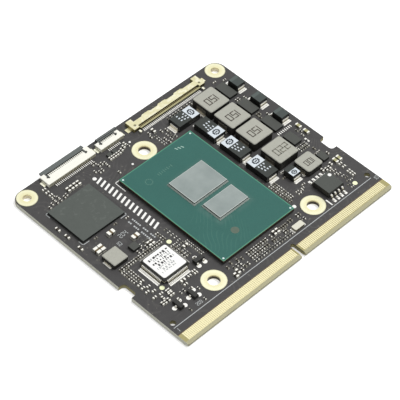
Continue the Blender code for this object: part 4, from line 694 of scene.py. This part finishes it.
# Small ceramic chips by region, kind and the axis they lie along, at the places where they are seen. A row
# is its first chip's x and y and, where it has more, the step in x and in y and the count
CHIPS = {
    ("south", "cap", "Y"): (
        (-6.0, -20.7, 0.8, 0, 8), (0.25, -20.7, 1.5, 0, 2), (5.05, -20.7, 0.7, 0, 4),
        (-6.1, -22.1, 0.8, 0, 8), (1.2, -22.1, 0.7, 0, 2), (5.1, -22.1, 0.8, 0, 2),
        (8.2, -20.5, 0.8, 0, 2), (11.0, -20.6, 0.8, 0, 2), (-9.0, -22.9, 1.0, 0, 2),
        (-12.4, -20.5), (-10.9, -20.0), (-9.2, -20.5), (-8.0, -20.8), (-10.3, -23.2),
    ),
    ("south", "big", "Y"): ((3.05, -20.7, 1.05, 0, 2), (-12.7, -23.5), (-11.6, -23.0)),
    ("south", "res", "X"): ((3.0, -22.4),),
    ("south", "res", "Y"): (
        (-6.2, -23.4, 0.88, 0, 15), (-11.3, -21.5, 0.95, 0, 3),
        (-9.4, -22.3), (11.0, -22.0), (11.8, -22.3),
    ),
    ("east", "cap", "X"): (
        (13.2, -9.75, 0, -0.75, 10), (14.4, -9.75, 0, -0.75, 9),
        (16.7, -15.4), (16.75, -16.3), (17.75, -16.0), (18.45, -15.5), (19.5, -14.8),
        (27.8, -16.3), (28.4, -16.9), (27.8, -17.8), (28.45, -18.4),
        (18.5, -8.7), (17.6, -10.2), (31.2, 23.2), (30.8, 21.5), (28.7, 24.3),
    ),
    ("east", "cap", "Y"): (
        (29.0, -10.2, 0.75, 0, 3), (28.2, 16.0, 0.8, 0, 2), (28.3, 8.9, 0.8, 0, 2),
        (31.5, -11.8), (22.5, -10.2), (22.5, -11.6), (30.2, -8.5), (21.5, -12.3),
        (30.5, 15.3), (30.8, 13.7), (28.3, 7.8), (30.5, 7.4), (30.8, 6.3),
    ),
    ("east", "bold", "Y"): ((26.3, -14.8), (27.2, -15.3), (28.2, -15.4), (29.3, -14.8)),
    ("east", "bold", "X"): ((31.0, -16.4, 0, -1.2, 2), (30.8, -19.3, 0, -0.85, 3)),
    ("east", "olive", "Y"): ((33.0, -0.7, 0, -2.6, 2), (30.9, -14.9, 1.3, 0, 2)),
    ("east", "res", "Y"): (
        (27.3, -5.7, 0.68, 0, 5), (27.3, -6.7, 0.68, 0, 5),
        (31.6, -1.4), (31.6, -3.4), (32.3, -2.2), (31.0, -5.4),
    ),
    ("east", "res", "X"): (
        (28.6, -19.4), (28.9, -20.3), (28.35, -21.3), (29.25, -21.6), (27.6, -22.3), (27.7, -23.4),
    ),
    ("north", "big", "Y"): ((-22.9, 22.4, 1.1, 0, 4), (5.5, 22.6)),
    ("north", "bold", "X"): ((-27.05, 26.4, 0, -1.2, 3),),
    ("north", "bold", "Y"): ((-8.6, 23.0, 0.78, 0, 5), (-4.5, 23.3), (-3.5, 23.7), (-2.65, 24.3)),
    ("north", "cap", "X"): ((-27.0, 23.2),),
    ("north", "cap", "Y"): (
        (-27.5, 22.4, 1.25, 0, 2), (-27.5, 21.3, 1.2, 0, 2), (-13.4, 21.6, 0.9, 0, 2),
        (-13.1, 24.5, 0.8, 0, 2), (11.2, 23.1, 0.98, 0, 9),
        (-29.8, 21.2), (-28.7, 21.7), (-25.0, 21.4), (-24.2, 21.6), (-14.2, 22.4),
        (-12.1, 23.2), (-11.2, 23.3), (-10.4, 22.9), (-10.5, 21.7), (-10.0, 18.3),
        (3.7, 21.5), (4.2, 22.7), (7.0, 21.2), (8.2, 20.7), (6.0, 17.3), (5.8, 18.7),
    ),
    ("north", "res", "X"): ((4.7, 17.5, 0, 0.88, 5),),
    ("north", "res", "Y"): (
        (-2.2, 23.3), (7.0, 17.8), (7.8, 18.2), (8.5, 17.7), (7.2, 19.4), (8.2, 19.6),
    ),
    ("west", "mid", "Y"): ((-33.05, 14.9), (-33.0, 11.75), (-33.15, 7.0)),
    ("west", "large", "Y"): ((-31.0, 3.6, 1.3, 0, 2),),
    ("west", "large", "X"): ((-24.9, 5.5), (-21.5, 0.8)),
    ("west", "big", "X"): ((-22.7, -16.2), (-14.9, -9.1)),
    ("west", "big", "Y"): ((-20.7, -3.0, 1.0, 0, 2),),
    ("west", "cap", "X"): (
        (-31.0, -5.05, 0, -0.8, 6), (-29.6, -5.05, 0, -0.8, 6),
        (-17.1, -1.85, 0, -0.8, 4), (-17.1, -7.0, 0, -0.9, 6),
        (-28.4, 6.9), (-22.1, 7.0), (-18.7, 6.5), (-16.0, -13.1),
    ),
    ("west", "cap", "Y"): ((-31.0, -4.2, 0.75, 0, 18), (-24.2, -3.0, 1.25, 0, 3)),
    ("west", "bold", "X"): (
        (-30.9, -10.3), (-29.7, -9.9), (-30.9, -11.5), (-29.7, -12.0), (-31.0, -13.0),
        (-29.7, -13.8), (-30.9, -15.3), (-29.0, -15.5), (-23.0, -17.4), (-23.0, -19.1),
        (-20.6, -16.2), (-18.9, -15.8, 0, -0.8, 2),
    ),
    ("west", "bold", "Y"): (
        (-27.6, -16.0, 0.7, 0, 2), (-27.8, -17.1, 0.8, 0, 2), (-30.0, -17.9, 1.0, 0, 2),
        (-29.6, -16.7), (-30.8, -17.8), (-27.3, -19.5),
    ),
    ("west", "res", "X"): (
        (-16.0, -7.0, 0, -0.9, 6), (-14.7, -2.3, 0, -1.1, 6), (-13.6, -8.2, 0, -0.65, 9),
    ),
    ("west", "res", "Y"): (
        (-22.3, -1.8, 1.2, 0, 3), (-25.45, -18.3, 1.0, 0, 2),
        (-27.35, -23.3), (-22.75, -23.3), (-21.55, -20.1),
    ),
}

# Share of the smallest chips whose ends are dull, by region
DULL_SHARE = {"south": 0.5, "east": 0.5, "west": 0.3, "north": 0.2}

# Chips narrower than this may be dull, each is placed with this much play, and their edges are eased
SMALL_WIDTH = 0.5
PLAY = 0.03
CHIP_EASE = 0.045


def make_chips():
    """Ceramic chips with tinned ends, each soldered to a pair of pads."""
    tins = {"end": tin("chip ends", rgb(246, 245, 236)), "dull": tin("dull chip ends", rgb(164, 162, 150))}
    # Chip body sides take a darker colour as painted shade
    bodies = {
        "ceramic": grainy("chip ceramic", rgb(68, 63, 55), 0.45, 0.15, 1.2, sides=rgb(34, 31, 26)),
        "tan": grainy("large chip ceramic", rgb(112, 98, 72), 0.45, 0.15, 1.2, sides=rgb(60, 50, 34)),
        "glaze": grainy("chip glaze", rgb(40, 40, 41), 0.4, 0.15, 1.2),
        "olive": grainy("chip olive", rgb(168, 165, 124), 0.45, 0.1, 1.2, sides=rgb(90, 84, 56)),
    }
    batches = {}

    def batch(region, part, material, slot):
        name = f"chip_{part}_{region}"
        if name not in batches:
            batches[name] = Batch(name, material, slot)
        return batches[name]

    def place(region, kind, direction, x, y):
        """One chip with its ends and pads."""
        length, width, height, share, part = CHIP_KINDS[kind]
        half, inner = length / 2, length / 2 - length * share
        body = batch(region, part, bodies[part], "ceramic")
        strip = along(direction, x, y, 0.05 - half, half - 0.05, width / 2 - 0.015)
        body.slab(*strip, (TOP + 0.04, TOP + height - 0.015))
        pads = batch(region, "pad", tins["dull"], "tinned_metal")
        shade = "dull" if width < SMALL_WIDTH and DRAW.random() < DULL_SHARE[region] else "end"
        ends = batch(region, shade, tins[shade], "tinned_metal")
        for side in (-1, 1):
            strip = along(direction, x, y, side * inner, side * half, width / 2)
            ends.slab(*strip, (TOP + 0.02, TOP + height))
            strip = along(direction, x, y, side * inner, side * (half + 0.1), width / 2 + 0.03)
            pads.slab(*strip, (TOP - SINK, TOP + 0.05))

    for (region, kind, direction), rows in CHIPS.items():
        for x, y, *run in rows:
            step_x, step_y, count = run or (0, 0, 1)
            for index in range(count):
                play = DRAW.uniform(-PLAY, PLAY)
                across = x - SEEN_SHIFT[0] + index * step_x + play
                place(region, kind, direction, across, y - SEEN_SHIFT[1] + index * step_y)
    for piece in batches.values():
        piece.done(0.0 if "_pad_" in piece.name else CHIP_EASE)


# Plain solder on the board: x, y, length along X and length along Y
SOLDER_BARS = (
    *((27.2 + index * 0.62, 0.7, 0.24, 0.8) for index in range(8)),
    (29.6, -10.1, 2.2, 0.3),
    (31.0, -5.4, 0.5, 1.5),
    *((21.1 + index * 1.27, -17.35, 0.8, 0.7) for index in range(4)),
)

# Terminals soldered at both ends of a part: the axis they face along and half the width of a pad
TERMINALS = {
    **{f"power_inductor_{number}": (0, 1.6) for number in range(1, 5)},
    "small_inductor": (0, 1.6),
    "input_inductor": (0, 1.3),
    "polymer_capacitor_1": (0, 1.45),
    **{f"polymer_capacitor_{number}": (1, 1.45) for number in range(2, 5)},
    **{f"edge_capacitor_{number}": (1, 1.25) for number in range(1, 4)},
    "small_capacitor": (1, 1.25),
}


# Leads of a small transistor, sideways and across from its middle, each in a bead of solder
TRANSISTOR_LEADS = ((0.0, 1.2), (-0.95, -1.2), (0.95, -1.2))
BEAD_RADIUS = 0.6


def lead_pads(pads, node, axes, count, pitch, half, inward, outward, far=None):
    """A solder pad under every lead of a node, along the given axes.

    The pads reach outward on the low side, and as far as that or otherwise on the high side.
    """
    low, high = box_mm(node)
    for axis in axes:
        middle = (low[1 - axis] + high[1 - axis]) / 2
        for offset in spread(count, pitch):
            for side, edge, reach in ((-1, low[axis], outward), (1, high[axis], far or outward)):
                x, y = (middle + offset, edge) if axis else (edge, middle + offset)
                pads.slab(*along("XY"[axis], x, y, -side * inward, side * reach, half), SOLDER)


def solder_pads():
    """Solder under the leads and terminals, on bare pads, and in beads on the transistors' leads."""
    pads = Batch("solder_pads", tin("solder"), "tinned_metal")
    lead_pads(pads, "controller", (0, 1), 16, 0.4, 0.19, 0.5, 0.4, 0.05)
    low, high = box_mm("display_connector_insulator")
    for offset in spread(40, CONTACT_PITCH):
        pads.slab(*along("Y", (low.x + high.x) / 2 + offset, low.y, -0.12, 0.5, 0.21), SOLDER)
    lead_pads(pads, "crystal", (0,), 1, 0.0, 0.75, 0.2, 0.4)
    lead_pads(pads, "flash_memory", (1,), 4, 1.27, 0.34, 0.6, 0.55)
    for node, (axis, half) in TERMINALS.items():
        lead_pads(pads, node, (axis,), 1, 0.0, half, 0.4, 0.38)
    for bar in SOLDER_BARS:
        pads.bar(*bar, (SOLDER[0], TOP + 0.06))
    for node, turned in (("transistor_1", False), ("transistor_2", True), ("transistor_3", True)):
        low, high = box_mm(node)
        middle = (low + high) / 2
        for sideways, across in TRANSISTOR_LEADS:
            step_x, step_y = (-across, sideways) if turned else (sideways, across)
            centre = (middle.x + step_x, middle.y + step_y)
            pads.disc(centre, BEAD_RADIUS, (SOLDER[0], TOP + 0.12), 12)
    pads.done()


# Print

# Strokes of seven-stroke numerals: start and end of each, across and up, in a frame 1 wide and 2 high
STROKES = {
    "a": ((0, 2), (1, 2)), "b": ((1, 1), (1, 2)), "c": ((1, 0), (1, 1)), "d": ((0, 0), (1, 0)),
    "e": ((0, 0), (0, 1)), "f": ((0, 1), (0, 2)), "g": ((0, 1), (1, 1)),
}
NUMERALS = {"0": "abcdef", "1": "bc", "2": "abged", "3": "abgcd", "4": "fgbc", "5": "afgcd"}
NUMERAL_STEP = 1.55


def print_batch(name, colour, roughness=0.6, amount=0.05, scale=3.0, slot="label_paper"):
    """A batch of print in its own ink."""
    return Batch(name, grainy(f"{name} ink", colour, roughness, amount, scale, 0.1), slot)


def print_levels(face, height=0.01):
    """Levels of print on a face at this height."""
    return face - SINK, face + height


def numerals(batch, text, x, y, size, stroke, levels, way=1):
    """Plain numerals from a start corner; a way of -1 sets them upside down."""
    for index, character in enumerate(text):
        for name in NUMERALS[character]:
            points = (
                (x + way * size * (NUMERAL_STEP * index + across), y + way * size * up)
                for across, up in STROKES[name]
            )
            batch.slab(*points, levels, stroke / 2)


def bracket(batch, x, y, inward_x, inward_y, arms, thick):
    """A corner bracket printed on the board, whose arms run inwards from its corner."""
    batch.slab((x, y), (x + inward_x * arms[0], y + inward_y * thick), BOARD_INK)
    batch.slab((x, y), (x + inward_x * thick, y + inward_y * arms[1]), BOARD_INK)


def board_print():
    """Print on the board: card edge line, brackets, dashes, dots, bars and plain numerals."""
    grey = print_batch("board_lines", rgb(186, 190, 190), amount=0.08, scale=1.0)
    grey.slab((-34.0, -24.7), (33.0, -24.53), BOARD_INK)
    start, end = box_mm("memory_package")
    for x, inward_x in ((start.x - 0.4, 1), (end.x + 0.4, -1)):
        for y, inward_y in ((start.y - 0.4, 1), (end.y + 0.4, -1)):
            bracket(grey, x, y, inward_x, inward_y, (2.0, 1.6), 0.18)
    for text, x, y, size, stroke in (
        ("10", -26.6, 1.3, 0.55, 0.14),
        ("204", -24.2, 2.9, 0.55, 0.14),
        ("10", 33.2, -25.9, 0.5, 0.14),
        ("1", -33.9, -26.1, 0.45, 0.14),
        ("203", -25.4, -23.7, 0.4, 0.12),
    ):
        numerals(grey, text, x, y, size, stroke, BOARD_INK)
    for x, gaps in ((-18.2, (5, 9)), (-19.4, (2, 6, 12))):
        for index in range(13):
            if index not in gaps:
                grey.bar(x, 5.19 - index * 0.62, 0.4, 0.42, BOARD_INK)
    grey.done()
    white = print_batch("board_print", SILK)
    for x, y, radius, sides in (
        (-15.9, 20.8, 0.52, 16),
        (12.6, -18.2, 0.52, 16),
        (-5.86, 18.08, 0.3, 12),
        (-1.31, 23.89, 0.3, 12),
    ):
        white.disc((x, y), radius, BOARD_INK, sides)
    white.slab((19.5, -24.1), (19.85, -22.0), BOARD_INK)
    bracket(white, -13.35, 16.5, 1, -1, (1.9, 3.7), 0.2)
    for index in range(15):
        y = -0.6 + index * 1.4
        white.prism(((-16.5, y), (-14.4, y + 0.65), (-14.4, y + 1.25), (-16.5, y + 0.6)), BOARD_INK)
    white.done()
    marks = Batch("fiducials", gold("fiducial gold", rgb(244, 250, 206)), "gold_plating")
    for centre in ((-16.8, -5.6), (-27.7, -14.4), (28.9, -23.1)):
        marks.disc(centre, 0.62, print_levels(TOP, 0.02), 20)
    marks.done()


def substrate_print():
    """Small marks on the processor's substrate: corner dots, a faint row and ring, ticks and a spot."""
    low, high = box_mm("processor_substrate")
    levels = print_levels(high.z, 0.012)
    dots = print_batch("substrate_dots", rgb(214, 232, 230), 0.5)
    for x in (low.x + 0.65, high.x - 0.65):
        for y in (low.y + 0.7, high.y - 0.7):
            dots.disc((x, y), 0.26, levels)
    dots.done()
    faint = print_batch("substrate_rows", rgb(80, 121, 110), 0.5, 0.08, 2.0)
    for index, length in enumerate((0.7, 1.0, 0.5, 0.9, 0.6, 1.0, 0.4, 0.8)):
        faint.bar(-4.6 + index * 0.62, 10.5, 0.2, length, levels)
    for index in range(12):
        faint.bar(*around((-7.9, 10.3), 0.9, index, 12), 0.28, 0.28, levels)
    faint.done()
    ticks = print_batch("substrate_ticks", rgb(176, 206, 196), 0.5)
    for index in range(3):
        ticks.bar(4.5 + index * 0.78, 13.6 - index * 0.26, 0.2, 0.9, levels, 20.0)
    ticks.done()
    spot = print_batch("substrate_spot", rgb(88, 102, 90), 0.5, 0.14, 1.2, "gold_plating")
    spot.disc((-3.85, -14.4), 1.05, levels, 24)
    spot.done()


def inductor_print():
    """Plain value numerals on the inductors, upside down to someone at the card edge."""
    pale = print_batch("inductor_print_pale", rgb(118, 116, 105), 0.6, 0.1, slot="mould_compound")
    dark = print_batch("inductor_print_dark", rgb(82, 75, 68), 0.6, 0.1, slot="mould_compound")
    for node, text, batch, size in (
        *((f"power_inductor_{number}", "150", dark, 1.04) for number in range(1, 4)),
        ("power_inductor_4", "220", pale, 1.04),
        ("small_inductor", "100", dark, 0.78),
    ):
        low, high = box_mm(node)
        x, y, _ = (low + high) / 2
        x, y = x + 2.05 * size + 0.4, y + size - 0.2
        numerals(batch, text, x, y, size, 0.27 * size, print_levels(high.z), -1)
    pale.done()
    dark.done()


# Polymer capacitors: axis of the terminals, marked end, width of the stripe and scale of the marks
CAPACITORS = {
    "polymer_capacitor_1": (0, 1, 2.5, 1.0),
    "polymer_capacitor_2": (1, -1, 2.5, 1.0),
    "polymer_capacitor_3": (1, 1, 2.5, 1.0),
    "polymer_capacitor_4": (1, 1, 2.5, 1.0),
    "small_capacitor": (1, -1, 1.7, 0.75),
    **{f"edge_capacitor_{number}": (1, 1, 0.9, 0.0) for number in range(1, 4)},
}


def capacitor_print():
    """Polarity stripe, a ring of small marks and rows of dashes on the polymer capacitors."""
    stripes = print_batch("capacitor_stripes", rgb(212, 220, 226), 0.5, 0.04)
    soft = print_batch("edge_capacitor_stripes", rgb(80, 89, 86), 0.5, 0.06, 2.0)
    marks = print_batch("capacitor_marks", rgb(34, 42, 48), 0.5, 0.06, slot="mould_compound")
    for node, (axis, side, width, scale) in CAPACITORS.items():
        low, high = box_mm(node)
        levels = print_levels(high.z)
        over_stripe = high.z + 0.004, high.z + 0.018
        edge = (high if side > 0 else low)[axis] - side * 0.74
        middle = (low[1 - axis] + high[1 - axis]) / 2
        half = (high[1 - axis] - low[1 - axis]) / 2 - 0.14

        def at(depth, offset):
            """Place at a depth in from the marked end and an offset across it."""
            inward = edge - side * depth
            return (middle + offset, inward) if axis else (inward, middle + offset)

        (stripes if scale else soft).slab(at(0.0, -half), at(width, half), levels)
        if scale:
            for index in range(10):
                angle = math.tau * index / 10
                place = at(width / 2 + 0.7 * scale * math.cos(angle), 0.85 * scale * math.sin(angle))
                marks.bar(*place, 0.44 * scale, 0.44 * scale, over_stripe)
            marks.slab(at(width / 2 - 0.16, -0.4 * scale), at(width / 2 + 0.16, 0.4 * scale), over_stripe)
        if scale == 1.0:
            for row in range(3):
                start = width + 0.35 + row * 0.9
                for column in range(3 - row % 2):
                    offset = -1.1 + column * 0.85 + row * 0.2
                    stripes.slab(at(start, offset), at(start + 0.5, offset + 0.34), levels)
    for batch in (stripes, soft, marks):
        batch.done()


# Lines on the label, from the back: share of strong marks and longest mark
LABEL_LINES = ((0.9, 0.7), (0.5, 0.3), (0.6, 0.5), (0.7, 0.6), (0.1, 0.4), (0.1, 0.5), (0.0, 0.6))


def package_marks():
    """Rows of small marks on the label and the dot on the flash memory."""
    soft = print_batch("label_rows", rgb(176, 178, 178), 0.6, 0.1, slot="mould_compound")
    strong = print_batch("label_marks", rgb(62, 62, 64), 0.6, 0.1, slot="mould_compound")
    low, high = box_mm("controller_label")
    levels = print_levels(high.z, 0.008)
    for line, (share, longest) in enumerate(LABEL_LINES):
        y = high.y - 1.1 - line * 0.78
        x = low.x + 0.8 + (0.9 if line % 2 else 0.0)
        while x < high.x - (2.2 if line > 3 else 1.0):
            length = DRAW.uniform(0.18, longest)
            batch = strong if DRAW.random() < share else soft
            batch.slab((x, y - DRAW.uniform(0.16, 0.5)), (x + length, y + 0.2), levels)
            x += length + DRAW.uniform(0.12, 0.5)
    soft.done()
    strong.done()
    dots = print_batch("package_dots", SILK, 0.5)
    high = box_mm("flash_memory")[1]
    dots.disc((high.x - 0.65, high.y - 2.5), 0.48, print_levels(high.z))
    dots.done()


def connector_contacts():
    """Blades in the comb slots of the film-cable connectors."""
    # The blades are dark as painted shade deep in the comb slots
    blades = Batch("comb_blades", gold("blade gold in painted shade", rgb(70, 64, 44)), "gold_plating")
    for node, (count, roof) in COMBS.items():
        low, high = box_mm(node)
        end = low.y + TAIL + 0.02 + roof
        for offset in spread(count, CONTACT_PITCH):
            strip = along("Y", (low.x + high.x) / 2 + offset, end, -0.53, 0.2, 0.07)
            blades.slab(*strip, (low.z + 0.36, high.z - 0.25))
    blades.done()


# Stage, light and camera

# Floor, in metres, with the light that it adds where it is seen, and the surroundings' strength as light
FLOOR_REACH = 3.0
FLOOR_LEVEL = -0.0002
FLOOR_COLOUR = (0.86, 0.86, 0.86)
FLOOR_LIFT = 0.4
WORLD_LIGHT = 0.45
WHITE = (1.0, 1.0, 1.0)

# Camera: azimuth, elevation and roll in degrees; its distance and shifts to the right and up; its lens
CAMERA_ANGLES = (-47.553, 48.035, 3.218)
CAMERA_PLACE = (445.81, -0.653, -1.879)
CAMERA_LENS = 167.8


def make_stage():
    """White floor that keeps the object's shadow and looks pure white to the camera."""
    mesh = bpy.data.meshes.new("floor")
    signs = ((-1, -1), (1, -1), (1, 1), (-1, 1))
    corners = [(FLOOR_REACH * x, FLOOR_REACH * y, FLOOR_LEVEL) for x, y in signs]
    mesh.from_pydata(corners, [], [(0, 1, 2, 3)])
    floor = bpy.data.objects.new("floor", mesh)
    bpy.context.scene.collection.objects.link(floor)
    look = Look("floor", 0.9, specular=0.0)
    look.set("Emission Color", WHITE)
    look.set("Emission Strength", look.between(look.seen(), 0.0, FLOOR_LIFT))
    mesh.materials.append(look.done(FLOOR_COLOUR))


def make_world():
    """Even white surroundings: full white where seen or mirrored, softer as light."""
    world = bpy.data.worlds.new("surroundings")
    bpy.context.scene.world = world
    nodes = Nodes(world, "Background")
    nodes.set("Color", WHITE)
    nodes.set("Strength", nodes.between(nodes.seen(), WORLD_LIGHT, 1.0))


def add_lamp(name, place, size, power):
    """A square area lamp aimed at the middle of the board."""
    lamp = bpy.data.lights.new(name, "AREA")
    lamp.size = size
    lamp.energy = power
    obj = bpy.data.objects.new(name, lamp)
    obj.location = place
    obj.rotation_euler = (-Vector(place)).to_track_quat("-Z", "Y").to_euler()
    bpy.context.scene.collection.objects.link(obj)


def make_camera():
    """The photo's view: from above the card edge and the left side."""
    azimuth, elevation, roll = (math.radians(angle) for angle in CAMERA_ANGLES)
    distance, shift_x, shift_y = (length * MM for length in CAMERA_PLACE)
    level = math.cos(elevation)
    back = Vector((math.sin(azimuth) * level, -math.cos(azimuth) * level, math.sin(elevation)))
    right = Vector((0, 0, 1)).cross(back).normalized()
    up = back.cross(right)
    turned_right = right * math.cos(roll) + up * math.sin(roll)
    turned_up = -right * math.sin(roll) + up * math.cos(roll)
    centre = turned_right * shift_x + turned_up * shift_y + back * distance
    centre.z += TOP * MM
    camera = bpy.data.cameras.new("camera")
    camera.sensor_width = 36.0
    camera.lens = CAMERA_LENS
    camera.clip_start = 0.01
    obj = bpy.data.objects.new("camera", camera)
    rotation = Matrix((turned_right, turned_up, back)).transposed()
    obj.matrix_world = Matrix.Translation(centre) @ rotation.to_4x4()
    bpy.context.scene.collection.objects.link(obj)
    bpy.context.scene.camera = obj


paint_frame()
make_chips()
solder_pads()
board_print()
substrate_print()
inductor_print()
capacitor_print()
package_marks()
connector_contacts()
make_stage()
make_world()
add_lamp("key", (0.35, -0.2, 0.95), 0.45, 6.5)
add_lamp("fill", (-0.3, -0.3, 0.95), 0.9, 2.0)
make_camera()
bpy.context.scene.view_settings.view_transform = "Standard"
